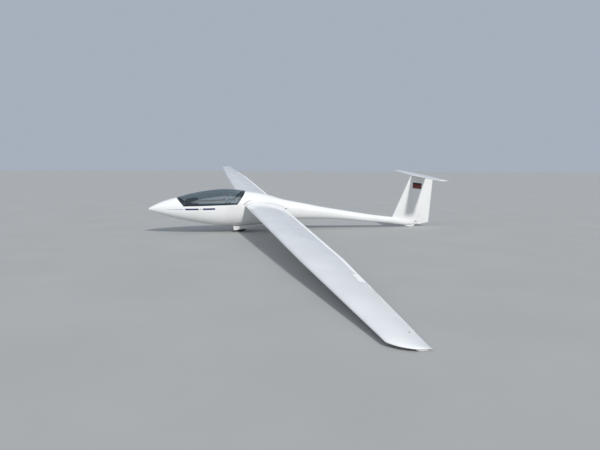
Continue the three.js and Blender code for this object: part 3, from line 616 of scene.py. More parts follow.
GREY_VINYL = matt("grey_vinyl", "gelcoat", (0.30, 0.33, 0.42), (0.38, 0.41, 0.50), 0.35)
BLACK_VINYL = matt("black_vinyl", "gelcoat", (0.01, 0.01, 0.012), (0.018, 0.018, 0.02), 0.35)
RED_VINYL = matt("red_vinyl", "gelcoat", (0.16, 0.012, 0.014), (0.23, 0.018, 0.02), 0.35)
BROWN_VINYL = matt("brown_vinyl", "gelcoat", (0.15, 0.035, 0.03), (0.22, 0.055, 0.045), 0.35)
# Painted light: whiter than the gelcoat, where the trailing edges catch the light
EDGE_LIGHT_PAINT = matt("painted_edge_light", "gelcoat", (0.90, 0.90, 0.89), (0.95, 0.95, 0.94), 0.55)
# Painted light: a pale strip that stands for a lit door edge above the port gear door
PAINTED_LIT_STRIP = matt("painted_lit_strip", "gelcoat", (0.74, 0.62, 0.58), (0.82, 0.72, 0.68), 0.5)
RED_HANDLE = matt("red_handle", "dark_trim", (0.30, 0.015, 0.012), (0.45, 0.03, 0.02), 0.4)
BLUE_HANDLE = matt("blue_handle", "brake_blue", (0.02, 0.07, 0.28), (0.03, 0.11, 0.42), 0.4)
YELLOW_HANDLE = matt("yellow_handle", "dark_trim", (0.60, 0.38, 0.02), (0.75, 0.50, 0.03), 0.4)
DIAL_FACE = matt("dial_black", "dark_trim", (0.008, 0.008, 0.009), (0.014, 0.014, 0.015), 0.55)
DIAL_WHITE = matt("dial_white", "dark_trim", (0.78, 0.78, 0.75), (0.86, 0.86, 0.83), 0.6)


# Aerofoils

FOIL_TAIL = 0.004


def foil_half(share, thickness):
    """Half the thickness of a foil of chord 1 at a share of the chord."""
    return 5 * thickness * (0.2969 * np.sqrt(share) - 0.126 * share - 0.3516 * share ** 2
                            + 0.2843 * share ** 3 - 0.1015 * share ** 4) + FOIL_TAIL / 2 * share


def foil(chord, thickness, camber, steps=32):
    """Points from the trailing edge over the top to the nose and back underneath."""
    share = (1 + np.cos(np.pi * np.arange(steps + 1) / steps)) / 2
    half = foil_half(share, thickness)
    middle = 4 * camber * share * (1 - share)
    upper = np.stack([share, middle + half], 1) * chord
    lower = np.stack([share, middle - half], 1) * chord
    return np.concatenate([upper, lower[-2:0:-1], lower[:1]])


tip_roots = np.sqrt(HALF_SPAN - WING[TIP_FROM:, 0])[::-1]
TIP_CURVES = [Spline(tip_roots, column[::-1]) for column in WING[TIP_FROM:].T[1:]]


def wing_row(distance):
    """Leading edge, chord, height, thickness and incidence at a distance from the centre."""
    if distance > WING[TIP_FROM, 0]:
        return [float(curve(math.sqrt(HALF_SPAN - distance))) for curve in TIP_CURVES]
    return row_at(WING, distance)


def wing_point(distance, side, along, up):
    lead, _, height, _, incidence = wing_row(distance)
    tilt = math.radians(incidence)
    return (lead + along * math.cos(tilt) + up * math.sin(tilt), side * distance,
            height - along * math.sin(tilt) + up * math.cos(tilt))


def wing_ring(distance, side):
    _, chord, _, thickness, _ = wing_row(distance)
    return [wing_point(distance, side, along, up) for along, up in foil(chord, thickness, WING_CAMBER, 40)]


def wing_skin(distance, side, share, above=True, proud=0.0):
    """A point on a wing's skin."""
    _, chord, _, thickness, _ = wing_row(distance)
    half = foil_half(share, thickness) * chord + proud
    middle = 4 * WING_CAMBER * share * (1 - share) * chord
    return wing_point(distance, side, share * chord, middle + (half if above else -half))


def chord_line(distance, side, share):
    chord = wing_row(distance)[1]
    return Vector(wing_point(distance, side, share * chord, 4 * WING_CAMBER * share * (1 - share) * chord))


# Moving surfaces

def split_surface(whole, stations, end_gap, reach):
    """Cuts a moving surface with a round nose out of a whole one. Returns it, the rest and the cut."""
    start, end = Vector(stations[0][0]), Vector(stations[-1][0])
    line = end - start
    rear = oriented_block(start, line, AFT, (0, 0, -reach / 2), (line.length, reach, reach / 2))
    moving = common(copy_of(whole), union(rear, spar(stations)))
    longer = [(start - GAP_OVERRUN * line, stations[0][1]), *stations[1:-1],
              (end + GAP_OVERRUN * line, stations[-1][1])]
    cut = oriented_block(start, line, AFT, (-end_gap, 0, -reach / 2),
                         (line.length + end_gap, reach, reach / 2))
    union(cut, spar(longer, CONTROL_GAP))
    return moving, boolean(whole, cut, keep=True), cut


def add_hinges(moving, fixed, start, end, shares, nose_radii, reach_back, slim=0.0):
    """Lugs on the fixed surface, each round a pin on the moving one."""
    start, end = Vector(start), Vector(end)
    line = end - start
    for share in shares:
        middle = start.lerp(end, share)
        slot_radius = nose_radii[0] + (nose_radii[1] - nose_radii[0]) * share + CONTROL_GAP
        radius = LUG["radius"] * (1 - slim * share)

        def stretch(size):
            step = line.normalized() * size / 2
            return middle - step, middle + step

        room = bar(*stretch(LUG["slot"]), slot_radius, sides=24)
        boolean(room, oriented_block(middle, line, AFT, (-1, 0, -1), (1, 1, 1)))
        boolean(moving, room)
        boolean(moving, bar(*stretch(LUG["slot"]), radius + LUG["room"], sides=24))
        union(moving, bar(*stretch(LUG["slot"] + 2 * LUG["overlap"]), LUG["pin"], sides=24))
        low, high = stretch(LUG["thickness"])
        half = radius * LUG["neck"]
        lug = union(bar(low, high, radius, sides=20), oriented_block(
            low, line, (-1, 0, 0), (0, 0, -half), (LUG["thickness"], slot_radius + reach_back, half)))
        boolean(lug, bar(*stretch(LUG["slot"]), LUG["pin"] + FIT, sides=24))
        union(fixed, lug)


def airbrake_block(side, grow):
    inner, outer = (chord_line(AIRBRAKE[key], side, AIRBRAKE["chord"]) for key in ("inner", "outer"))
    line = outer - inner
    low = -AIRBRAKE["height"] / 2 - min(grow, FIT) + AIRBRAKE["raised"]
    half = AIRBRAKE["thickness"] / 2 + grow
    return oriented_block(inner, line, UP, (-grow, low, -half), (line.length + grow, low + 0.2, half))


for side, label in SIDES:
    tip_steps = HALF_SPAN - np.linspace(math.sqrt(HALF_SPAN - WING[TIP_FROM, 0]), 0, 16)[1:] ** 2
    distances = [ROOT_Y + FIT, *np.linspace(0.8, 7.2, 17), WING[TIP_FROM, 0], *tip_steps]
    whole = loft([wing_ring(distance, side) for distance in distances])
    start, end = (chord_line(AILERON[key], side, AILERON["hinge"]) for key in ("inner", "outer"))
    radii = []
    for key in ("inner", "outer"):
        _, chord, _, thickness, _ = wing_row(AILERON[key])
        radii.append(float(foil_half(AILERON["hinge"], thickness)) * chord * NOSE_SHARE)
    aileron, wing, cut = split_surface(copy_of(whole), [(start, radii[0]), (end, radii[1])], CONTROL_GAP, 0.6)
    bpy.data.objects.remove(cut)
    add_hinges(aileron, wing, start, end, (0.15, 0.5, 0.85), radii, 0.014, 0.35)
    boolean(wing, airbrake_block(side, AIRBRAKE["gap"]))
    blade = common(copy_of(whole), airbrake_block(side, 0))
    cap = common(copy_of(whole), airbrake_block(side, CAP["grow"]))
    under = copy_of(whole)
    under.data.transform(Matrix.Translation((0, 0, -CAP["thickness"])))
    union(blade, boolean(cap, under))
    bpy.data.objects.remove(whole)
    piece(wing, f"wing_{label}_skin", GELCOAT, stands_for=f"wing_{label}")
    piece(aileron, f"aileron_{label}_skin", GELCOAT, f"aileron_{label}", f"aileron_{label}")
    piece(blade, f"airbrake_{label}_blade", GELCOAT, f"airbrake_{label}", f"airbrake_{label}")


# Tail

def flat_ring(distance):
    lead, chord, thickness = row_at(TAILPLANE, abs(distance))
    return [(lead + along, distance, TAILPLANE_Z + up) for along, up in foil(chord, thickness, 0)]


def fin_ring(z):
    lead, trail, thickness = row_at(FIN, z)
    return [(lead + along, out, z) for along, out in foil(trail - lead, thickness, 0)]


def elevator_radius(distance):
    lead, chord, thickness = row_at(TAILPLANE, distance)
    return float(foil_half((ELEVATOR["hinge"] - lead) / chord, thickness)) * chord * NOSE_SHARE


half_rows = [0.3, 0.7, 1.0, 1.110, 1.135, 1.150, 1.160, 1.166]
whole = loft([flat_ring(y) for y in [-y for y in half_rows[::-1]] + [0] + half_rows])
tail_keep = copy_of(whole)
hinge_line = [(ELEVATOR["hinge"], side * ELEVATOR["end"], TAILPLANE_Z) for side in (-1, 0, 1)]
tip_radius, middle_radius = elevator_radius(1.110), elevator_radius(0)
elevator, tailplane, cut = split_surface(
    whole, list(zip(hinge_line, (tip_radius, middle_radius, tip_radius))), CONTROL_GAP, 0.4)
bpy.data.objects.remove(cut)
add_hinges(elevator, tailplane, hinge_line[0], hinge_line[2], (0.12, 0.36, 0.64, 0.88),
           (middle_radius, middle_radius), 0.016)
piece(tailplane, "tailplane_skin", GELCOAT, stands_for="tailplane")
piece(elevator, "elevator_skin", GELCOAT, "elevator", "elevator")


def hull_skin(inset=0.0, low=0.0, high=FUSELAGE[-1, 0]):
    """The fuselage's closed skin between two stations."""
    xs = [low] + [root ** 2 for root in HULL_ROOTS if low + 0.002 < root ** 2 < high - 0.002] + [high]
    return loft([ring(x, inset) for x in xs])


hull = hull_skin()
low, high, radii, top = RUDDER["low"], RUDDER["high"], RUDDER["radii"], RUDDER["top"]
rudder, fin, rudder_cut = split_surface(
    loft([fin_ring(z) for z in np.linspace(FIN[0, 0], FIN[1, 0], 12)]),
    [(low, radii[0]), (high, radii[1])], 0.2, 0.7)
common(rudder, prism([(6.400, 0.042), (6.530, 0.048), (6.900, 0.102), (7.100, 0.110), (7.100, top),
                      (6.400, top)], -0.2, 0.2))
common(fin, prism([(5.600, 0.200), (6.700, 0.095), (7.000, 0.095), (7.000, top), (FIN_STEP, top),
                   (FIN_STEP, TAILPLANE_SEAT), (5.600, TAILPLANE_SEAT)], -0.2, 0.2))
boolean(fin, tail_keep)
boolean(fin, hull, keep=True)
add_hinges(rudder, fin, low, high, (0.2, 0.78), (radii[0], radii[0]), 0.020)
piece(fin, "tail_fin_skin", GELCOAT, stands_for="tail_fin")
piece(rudder, "rudder_skin", GELCOAT, "rudder", "rudder")


# Canopy

def canopy_outline(gap):
    """The canopy's outline from the side, anticlockwise, each side moved inwards by a gap."""
    corners = [CANOPY_TOP[0], SILL[0], SILL[1], CANOPY_TOP[1]]
    lines = []
    for (x, z), (next_x, next_z) in zip(corners, corners[1:] + corners[:1]):
        length = math.hypot(next_x - x, next_z - z)
        normal = (-(next_z - z) / length, (next_x - x) / length)
        lines.append((*normal, normal[0] * x + normal[1] * z + gap))
    made = []
    for i, (a, b, offset) in enumerate(lines):
        last_a, last_b, last = lines[i - 1]
        det = last_a * b - a * last_b
        made.append(((last * b - offset * last_b) / det, (last_a * offset - a * last) / det))
    return made


def canopy_shell(outside, inside):
    """A shell of the canopy between two insets."""
    return boolean(hull_skin(outside, 0.400, 2.300), hull_skin(inside, 0.390, 2.310))


def sill_height(x):
    (x0, z0), (x1, z1) = SILL
    return z0 + (x - x0) / (x1 - x0) * (z1 - z0)


def hinge_at(x):
    z = sill_height(x)
    return Vector((x, skin_half(x, z) + CANOPY_HINGE["out"], z))


glass = common(canopy_shell(0, GLASS), prism(canopy_outline(2 * FIT), -0.4, 0.4))
band = boolean(prism(canopy_outline(2 * FIT), -0.4, 0.4),
               prism(canopy_outline(CANOPY_FRAME["width"]), -0.5, 0.5))
canopy_frame = common(canopy_shell(GLASS + FIT, GLASS + CANOPY_FRAME["depth"]), band)

# Fuselage shell with its hollows

union(hull, loft([wing_ring(ROOT_Y, -1), wing_ring(ROOT_Y, 1)]))
ROOM = [(0.130, 0.150), (1.640, 0.150), (1.640, 0.236), (1.795, 0.236), (1.795, 0.692), (1.985, 0.692),
        (2.300, 1.100), (0.130, 1.100)]
boolean(hull, common(hull_skin(WALL, 0.130, 2.260), prism(ROOM, -0.4, 0.4)))
boolean(hull, prism(canopy_outline(0), -0.5, 0.5))


def bay_plan(shrink, low, high, half_shrink):
    """The wheel bay's plan, run from z low to z high."""
    front, rear = BAY["front"] + shrink, BAY["rear"] - shrink
    wide, slim = BAY["front_half"] - half_shrink, BAY["rear_half"] - half_shrink
    corners = [(front, -wide), (rear, -slim), (rear, slim), (front, wide)]
    return solid([[(x, y, z) for x, y in corners] for z in (low, high)])


boolean(hull, bay_plan(0, 0.060, BAY["roof"], 0))
boolean(hull, block((HOOK["x"][0] - FIT, -HOOK["half"] - FIT, 0.100),
                    (HOOK["x"][1] + FIT, HOOK["half"] + FIT, HOOK["high"] + FIT)))
boolean(hull, rudder_cut, keep=True)

axis = (hinge_at(CANOPY_HINGE["rear"]) - hinge_at(CANOPY_HINGE["front"])).normalized()
for place in (hinge_at(CANOPY_HINGE["front"]), hinge_at(CANOPY_HINGE["rear"])):
    def around(low, high):
        return block(place + Vector(low), place + Vector(high))

    def along_hinge(half, radius, sides=32):
        return bar(place - axis * half, place + axis * half, radius, sides=sides)

    reach = CANOPY_HINGE["length"] / 2 + CANOPY_HINGE["end_room"]
    for thing in (glass, canopy_frame, hull):
        boolean(thing, along_hinge(reach, CANOPY_HINGE["knuckle"] + CANOPY_HINGE["room"]))
    boolean(glass, around((-0.012, -0.020, -0.001), (0.012, 0.009, 0.009)))
    half = CANOPY_HINGE["length"] / 2 + FIT
    boolean(hull, around((-half, -0.022 - FIT, -0.026 - FIT), (half, 0.020, 0.020)))
    half = CANOPY_HINGE["half"]
    knuckle = union(along_hinge(half, CANOPY_HINGE["knuckle"]),
                    around((-half, -0.024, 2 * FIT), (half, 0, 0.007)))
    boolean(knuckle, along_hinge(0.05, CANOPY_HINGE["pin"] + FIT, 16))
    union(canopy_frame, knuckle)

piece(glass, "canopy_pane", CANOPY_GLASS, "canopy", "canopy_glass")
piece(canopy_frame, "canopy_frame_band", TRIM, "canopy", "canopy_frame")
piece(hull, "fuselage_shell", GELCOAT, stands_for="fuselage", level=False)
hull.data.materials.append(COCKPIT[0])
hull.data.materials.append(INSIDE[0])
opening = [CANOPY_TOP[0], *SILL, CANOPY_TOP[1]]
for polygon in hull.data.polygons:
    x, y, z = polygon.center
    half, off, rise, power = quarter(x, z)
    out = ((abs(y) / half) ** power + (off / rise) ** power) ** (1 / power)
    sill_face = any(abs((x - a[0]) * (b[1] - a[1]) - (z - a[1]) * (b[0] - a[0])) < 0.0015 * math.dist(a, b)
                    for a, b in zip(opening, opening[1:])) and z > 0.64
    if out < 0.985 and not sill_face:
        in_bay = BAY["front"] - 0.01 < x < BAY["rear"] + 0.01 and z < BAY["roof"] + 0.01
        polygon.material_index = 2 if in_bay else 1
hull.data.transform(LEVEL)

# Fairings at the roots of wing and fin, which flare out towards the hull

FAIRING = {"reach": 0.050, "from": 0.175, "curve": 2.6}
FIN_FAIRING = {"top": 0.310, "low": 0.152, "fall": 0.158, "hull_z": 0.150, "sink": 0.985, "side_curve": 2.4,
               "front": 0.035, "front_share": 0.5, "front_curve": 2.2, "edge": 0.012}

for side, label in SIDES:
    rings = []
    base = [Vector((x, 0, z)) for x, _, z in wing_ring(ROOT_Y, side)]
    for y in np.linspace(ROOT_Y, FAIRING["from"], 14):
        share = (ROOT_Y - y) / (ROOT_Y - FAIRING["from"])
        grow = FAIRING["reach"] * share ** FAIRING["curve"]
        points = [point + Vector((0, side * y, 0)) for point in base]
        rings.append([tuple(point + Vector(ACROSS).cross(after - before).normalized() * grow)
                      for before, point, after in zip(points[-1:] + points, points, points[1:] + points[:1])])
    piece(loft(rings), f"root_fairing_{label}", GELCOAT, sharp=50)

fin_rings = []
for z in np.linspace(FIN_FAIRING["top"], FIN_FAIRING["low"], 16):
    share = (FIN_FAIRING["top"] - z) / FIN_FAIRING["fall"]
    lead, trail, _ = row_at(FIN, z)
    fin_rings.append([])
    for x, out, _ in fin_ring(z):
        front = max(0.0, 1 - (x - lead) / (trail - lead) / FIN_FAIRING["front_share"])
        wide = max(0.0, skin_half(x, FIN_FAIRING["hull_z"]) * FIN_FAIRING["sink"] - abs(out))
        wide *= share ** FIN_FAIRING["side_curve"]
        edge = min(1.0, abs(out) / FIN_FAIRING["edge"])
        fin_rings[-1].append((x - FIN_FAIRING["front"] * share ** FIN_FAIRING["front_curve"] * front ** 3,
                              out + math.copysign(wide * edge, out), z))
piece(boolean(loft(fin_rings), rudder_cut), "fin_fairing", GELCOAT, sharp=50)


# Markings and small fittings on the skin

PROUD = 0.0005
PATCH_DEPTH = 0.0012


def patch(name, surface, us, vs, look, body="airframe"):
    """A thin closed skin over a surface(u, v, proud) of the level frame."""
    piece(slab(surface, us, vs, (PROUD, PROUD - PATCH_DEPTH)), name, look, body)


def side_point(side, x, z, proud):
    return x, side * skin_half(x, z, -proud), z


def fin_point(side, x, z, proud):
    lead, trail, thickness = row_at(FIN, z)
    share = (x - lead) / (trail - lead)
    return x, side * (float(foil_half(share, thickness)) * (trail - lead) + proud), z


# Stripes below the canopy: ends, half width at each end, and look
STRIPES = [
    ("taper", (0.360, 0.735), (0.0015, 0.0075), GREY_VINYL),
    ("front_band", (0.782, 1.070), (0.0165, 0.0165), NAVY_VINYL),
    ("dash", (1.097, 1.131), (0.0100, 0.0100), GREY_VINYL),
    ("rear_band", (1.160, 1.424), (0.0180, 0.0180), NAVY_VINYL),
]
STRIPE = {"height": 0.590, "rise": 0.015, "from": 0.8}
for side, label in SIDES:
    for key, ends, halves, look in STRIPES:
        def stripe(x, v, proud):
            middle = STRIPE["height"] + STRIPE["rise"] * (x - STRIPE["from"])
            return side_point(side, x, middle + v * float(np.interp(x, ends, halves)), proud)
        patch(f"stripe_{key}_{label}", stripe, np.linspace(*ends, 24), np.linspace(-1, 1, 4), look)

# Three plain bands of colour on the fin, which fall a little towards the rear
BANDS = {"x": (6.340, 6.590), "z": (0.972, 1.119), "fall": 0.10}
band_height, band_middle = (BANDS["z"][1] - BANDS["z"][0]) / 3, sum(BANDS["x"]) / 2
for side, label in SIDES:
    for row, look in enumerate((BROWN_VINYL, RED_VINYL, BLACK_VINYL)):
        low = BANDS["z"][0] + row * (BANDS["z"][1] - BANDS["z"][0]) / 3
        patch(f"fin_band_{row}_{label}",
              lambda x, z, proud: fin_point(side, x, z - BANDS["fall"] * (x - band_middle), proud),
              np.linspace(*BANDS["x"], 16), np.linspace(low, low + band_height, 4), look)


def oval_patch(name, place, half_x, half_z, side, rings=4, sides=28):
    """A dark oval patch on the hull's side, painted shade that stands for an opening."""
    def surface(u, v, proud):
        angle = 2 * math.pi * v / sides
        x, z = place[0] + u * half_x * math.cos(angle), place[1] + u * half_z * math.sin(angle)
        return side_point(side, x, z, proud)

    points = [surface(0, 0, PROUD)]
    points += [surface(i / rings, v, PROUD) for i in range(1, rings + 1) for v in range(sides)]
    points += [surface(1, v, -PROUD) for v in range(sides)] + [surface(0, 0, -PROUD)]
    pairs = [(v, (v + 1) % sides) for v in range(sides)]
    last = 1 + rings * sides
    faces = [(0, 1 + v, 1 + w) for v, w in pairs]
    for a in range(1, last, sides):
        faces += [(a + v, a + sides + v, a + sides + w, a + w) for v, w in pairs]
    faces += [(last + v, len(points) - 1, last + w) for v, w in pairs]
    piece(face_out(new_object(points, faces)), name, SEAL_AND_SHADE)


# Painted shade: dark ovals for the openings on each side of the hull
for side, label in SIDES:
    oval_patch(f"static_slot_{label}", (3.040, 0.551), 0.044, 0.0100, side)
    oval_patch(f"tail_slot_{label}", (6.494, 0.136), 0.047, 0.0085, side)

# A smooth low cover on each shoulder behind the wing
COVER = {"x": 2.480, "y": 0.205, "half_x": 0.045, "half_y": 0.024, "rise": 0.020}
for side, label in SIDES:
    rings = []
    for i in range(9):
        angle = math.pi / 2 * i / 8
        spread = max(math.cos(angle), 0.02)
        rings.append([])
        for a in turns(20):
            x = COVER["x"] + COVER["half_x"] * spread * math.cos(a)
            y = side * COVER["y"] + COVER["half_y"] * spread * math.sin(a)
            rings[-1].append((x, y, skin_top(x, abs(y)) + COVER["rise"] * math.sin(angle) - 0.001))
    piece(loft(rings), f"shoulder_cover_{label}", GELCOAT, sharp=60)

# A pale pinkish strip above the port gear door: painted light that stands for a door edge facing the light
BELLY_LIT_STRIP = {"x": (1.852, 2.000), "z": 0.222, "half": 0.008}
patch("belly_tape", lambda x, v, proud: side_point(-1, x, BELLY_LIT_STRIP["z"] + v, proud),
      np.linspace(*BELLY_LIT_STRIP["x"], 12), np.linspace(-BELLY_LIT_STRIP["half"], BELLY_LIT_STRIP["half"], 3), PAINTED_LIT_STRIP)

# Whiter strips along the trailing edges, painted light where the skin that slopes aft catches the light, with
# a painted glint at each aileron's inner end: shares of the chord, and ends along the span
WING_EDGE_LIGHT = ((0.890, 0.992), (0.400, 5.465))
AILERON_EDGE_LIGHTS = [
    ("inner", (0.890, 0.992), (5.490, 5.558)),
    # The wider patch at the aileron's inner end is a painted glint
    ("end", (0.800, 0.992), (5.560, 5.830)),
    ("thin", (0.972, 0.994), (5.835, 7.160)),
]
for side, label in SIDES:
    def upper(share, y, proud):
        return wing_skin(y, side, share, True, proud)
    shares, reach = WING_EDGE_LIGHT
    patch(f"edge_tape_{label}", upper, np.linspace(*shares, 6), np.linspace(*reach, 40), EDGE_LIGHT_PAINT)
    for key, shares, reach in AILERON_EDGE_LIGHTS:
        patch(f"aileron_tape_{key}_{label}", upper, np.linspace(*shares, 6), np.linspace(*reach, 16),
              EDGE_LIGHT_PAINT, f"aileron_{label}")

# A dark gap around the rib at each wing root
ROOT_GAP = {"y": (0.3300, 0.3345), "proud": 0.0008}
chord_shares = [0.5 - 0.5 * math.cos(math.pi * s) for s in np.linspace(0, 1, 26)]
for side, label in SIDES:
    for kind, above in (("top", True), ("under", False)):
        patch(f"root_gap_{kind}_{label}",
              lambda share, y, proud: wing_skin(y, side, share, above, proud + ROOT_GAP["proud"] - PROUD),
              chord_shares, np.linspace(*ROOT_GAP["y"], 3), SEAL_AND_SHADE)

# A dark seam on the fuselage above the front of each wing root
SEAM = {"x": 2.057, "length": 0.171, "z": 0.683, "rise": 0.083, "proud": 0.0004, "half": 0.010}
for side, label in SIDES:
    def seam(u, v, proud):
        z = SEAM["z"] + SEAM["rise"] * math.sin(math.pi / 2 * u) + v * (1.0 - 0.5 * u)
        return side_point(side, SEAM["x"] + SEAM["length"] * u, z, proud + SEAM["proud"])
    across = np.linspace(-SEAM["half"], SEAM["half"], 3)
    patch(f"root_seam_{label}", seam, np.linspace(0, 1, 16), across, SEAL_AND_SHADE)

# Rounded copies stand for the nodes with bare edges: look and width of the rounding
ROUNDED = {
    "canopy_hinge_front": (STEEL, 0.0012),
    "canopy_hinge_rear": (STEEL, 0.0012),
    "canopy_latch": (ALLOY, 0.0012),
    "instrument_pedestal": (COCKPIT, 0.010),
    "rudder_pedals": (ALLOY, 0.0025),
    "airbrake_lever": (BLUE_HANDLE, 0.003),
    "gear_lever": (RED_HANDLE, 0.003),
    "gear_fork": (STEEL, 0.0025),
    "drag_strut": (STEEL, 0.0025),
    "tow_hook": (STEEL, 0.003),
    "tail_skid": (GELCOAT, 0.006),
    "main_axle": (STEEL, 0.002),
}
for name, (look, width) in ROUNDED.items():
    twin = copy_of(bpy.data.objects[name])
    twin.parent = None
    rounded(weld(twin, 2e-5), width, 3)
    body = "canopy" if name == "canopy_latch" else "airframe"
    piece(twin, f"{name}_round", look, body, name, level=False)

# A rounded shoe under each wing tip
TIP_SKID = {"x": (2.468, 2.592), "y": (7.404, 7.492), "low": 0.7530, "top": 0.779, "round": 0.6,
            "slope": 0.25, "sink": 0.0012}
(x0, x1), (y0, y1) = TIP_SKID["x"], TIP_SKID["y"]
for side, label in SIDES:
    half_x, half_y = (x1 - x0) / 2, (y1 - y0) / 2 * 0.9
    rings = []
    for i in range(13):
        angle = math.pi / 2 * i / 12
        spread = max(math.cos(angle) ** TIP_SKID["slope"], 0.02) if i < 12 else 0.02
        height = TIP_SKID["top"] - (TIP_SKID["top"] - TIP_SKID["low"]) * math.sin(angle)
        rings.append([])
        for a in turns(40):
            x = (x0 + x1) / 2 + half_x * spread * bent(math.cos(a), TIP_SKID["round"])
            y = (y0 + y1) / 2 + half_y * spread * bent(math.sin(a), TIP_SKID["round"])
            lead, chord = wing_row(y)[:2]
            share = min(max((x - lead) / chord, 0.02), 0.995)
            cover = wing_skin(y, side, share)[2] - TIP_SKID["sink"]
            rings[-1].append((x, side * y, min(height, cover)))
    piece(loft(rings), f"tip_skid_{label}_shoe", GELCOAT, stands_for=f"tip_skid_{label}", sharp=60)

# Main wheel: a ribbed tread on a round crown, with a raised line on each sidewall

TYRE = {"centre": 0.115, "crown": 0.060, "groove": 0.0032, "line": 0.0012, "grooves": (-34, -17, 0, 17, 34)}
HUB = (WHEEL_X, 0, WHEEL_Z)
BOLT = {"count": 6, "circle": 0.047, "foot": 0.014, "head": (0.0235, 0.0058), "shaft": (0.0255, 0.0028)}

tread = []
for degrees in range(-124, 125, 4):
    if min(abs(degrees - middle) for middle in TYRE["grooves"]) > 3:
        tread.append((degrees, TYRE["line"] if 60 < abs(degrees) < 72 else 0.0))
for middle in TYRE["grooves"]:
    tread += [(middle - 2.4, 0), (middle - 1.6, -TYRE["groove"]), (middle + 1.6, -TYRE["groove"])]
    tread.append((middle + 2.4, 0))
outline = []
for degrees, lift in sorted(tread):
    angle = math.radians(degrees)
    outline.append((TYRE["centre"] + (TYRE["crown"] + min(lift, 0)) * math.cos(angle),
                    (TYRE["crown"] + lift) * math.sin(angle)))
outline += [(0.0765, 0.040), (0.0765, -0.040)]
piece(lathe(outline, HUB, sides=96), "tyre_ribbed", RUBBER, "main_wheel", "main_tyre", sharp=28)

hub_half = [(0.0757, 0.038), (0.066, 0.038), (0.060, 0.016), (0.034, 0.020), (0.030, 0.046), (0.0123, 0.046)]
hub_outline = [(radius, -height) for radius, height in hub_half[::-1]] + hub_half
hub_parts = [rounded(lathe(hub_outline, HUB, sides=72), 0.0016, 2, 25)]
for side, _ in SIDES:
    for i in range(BOLT["count"]):
        angle = math.radians(360 / BOLT["count"] * i)
        x, z = WHEEL_X + BOLT["circle"] * math.cos(angle), WHEEL_Z + BOLT["circle"] * math.sin(angle)
        for key, sides, edge in (("head", 6, 0.0006), ("shaft", 12, 0)):
            end, radius = BOLT[key]
            bolt = bar((x, side * BOLT["foot"], z), (x, side * end, z), radius, sides=sides)
            hub_parts.append(rounded(bolt, edge) if edge else bolt)
piece(joined(hub_parts), "wheel_hub_bolted", ALLOY, "main_wheel", "main_wheel_hub")

# Gear doors, and their hinges on the edge of the bay

DOOR = {"thickness": 0.006, "gap": 0.003, "middle_gap": 0.0005, "open": 90, "edge": 0.0014}
DOOR_DISC = {"x": 1.906, "y": 0.064, "radius": 0.009, "proud": 0.0012, "sunk": 0.0010}
DOOR_HINGE = {"shares": (0.14, 0.86), "radius": 0.005, "pin": 0.002, "half": 0.007, "knuckle": 0.012}
DOOR_LENGTH = math.hypot(BAY["rear"] - BAY["front"] - 2 * DOOR["gap"], BAY["front_half"] - BAY["rear_half"])

for side, label in SIDES:
    joint = joints[f"gear_door_{label}_swing"]
    front = LEVEL.inverted() @ Vector(joint["pos_m"])
    along = (TURN.transposed() @ Vector(joint["axis"])).normalized()
    along *= 1 if along.x > 0 else -1
    inward = Vector((0, -side, 0))
    inward = (inward - along * inward.dot(along)).normalized()
    basis = Matrix((along, inward, along.cross(inward) * -side)).transposed().to_4x4()

    def door_bar(share, low, high, radius):
        middle = front + along * share * DOOR_LENGTH
        return bar(middle + along * low, middle + along * high, radius, sides=20)

    def door_block(share, low, high):
        """A block whose sides run along the door's hinge line, inwards from it and upwards."""
        made = block(low, high)
        made.data.transform(Matrix.Translation(front + along * share * DOOR_LENGTH) @ basis)
        return face_out(made)

    shell = boolean(hull_skin(0, 1.700, 2.500), hull_skin(DOOR["thickness"], 1.690, 2.510))
    common(shell, bay_plan(DOOR["gap"], 0, 0.300, DOOR["gap"] + 0.003))
    near, far = sorted((side * DOOR["middle_gap"], side * 0.4))
    common(shell, block((0, near, 0), (4, far, 0.4)))
    rounded(shell, DOOR["edge"], 2, 50)
    swing = (Matrix.Translation(front) @ Matrix.Rotation(side * math.radians(DOOR["open"]), 4, along)
             @ Matrix.Translation(-front))
    shell.data.transform(swing)
    parts, lugs = [shell], []
    # A small dark disc on each door, a little proud of its skin
    x, y = DOOR_DISC["x"], side * DOOR_DISC["y"]
    door_disc = boolean(hull_skin(-DOOR_DISC["proud"], 1.870, 1.940), hull_skin(DOOR_DISC["sunk"], 1.860, 1.950))
    common(door_disc, bar((x, y, 0.1), (x, y, 0.3), DOOR_DISC["radius"], sides=24)).data.transform(swing)
    piece(door_disc, f"gear_door_{label}_stud", SEAL_AND_SHADE, f"gear_door_{label}", slot="dark_trim")
    half, knuckle = DOOR_HINGE["half"], DOOR_HINGE["knuckle"]
    for share in DOOR_HINGE["shares"]:
        parts.append(door_bar(share, -half - 0.003, half + 0.003, DOOR_HINGE["pin"]))
        for low, high in ((-half - 0.001 - knuckle, -half - 0.001), (half + 0.001, half + 0.001 + knuckle)):
            leaf = union(door_bar(share, low, high, DOOR_HINGE["radius"]),
                         door_block(share, (low, -0.001, -0.016), (high, 0.010, 0.001)))
            parts.append(rounded(leaf, 0.0008))
    piece(joined(parts), f"gear_door_{label}_skin", GELCOAT, f"gear_door_{label}", f"gear_door_{label}")
    for share in DOOR_HINGE["shares"]:
        lug = union(door_bar(share, -half, half, DOOR_HINGE["radius"]),
                    door_block(share, (-half, -0.010, -0.002), (half, -0.0005, 0.018)))
        boolean(lug, door_bar(share, -0.020, 0.020, DOOR_HINGE["pin"] + FIT))
        lugs.append(rounded(lug, 0.0006))
    piece(joined(lugs), f"gear_door_lugs_{label}", STEEL)

# Seat: one bucket whose sides rise towards the wall

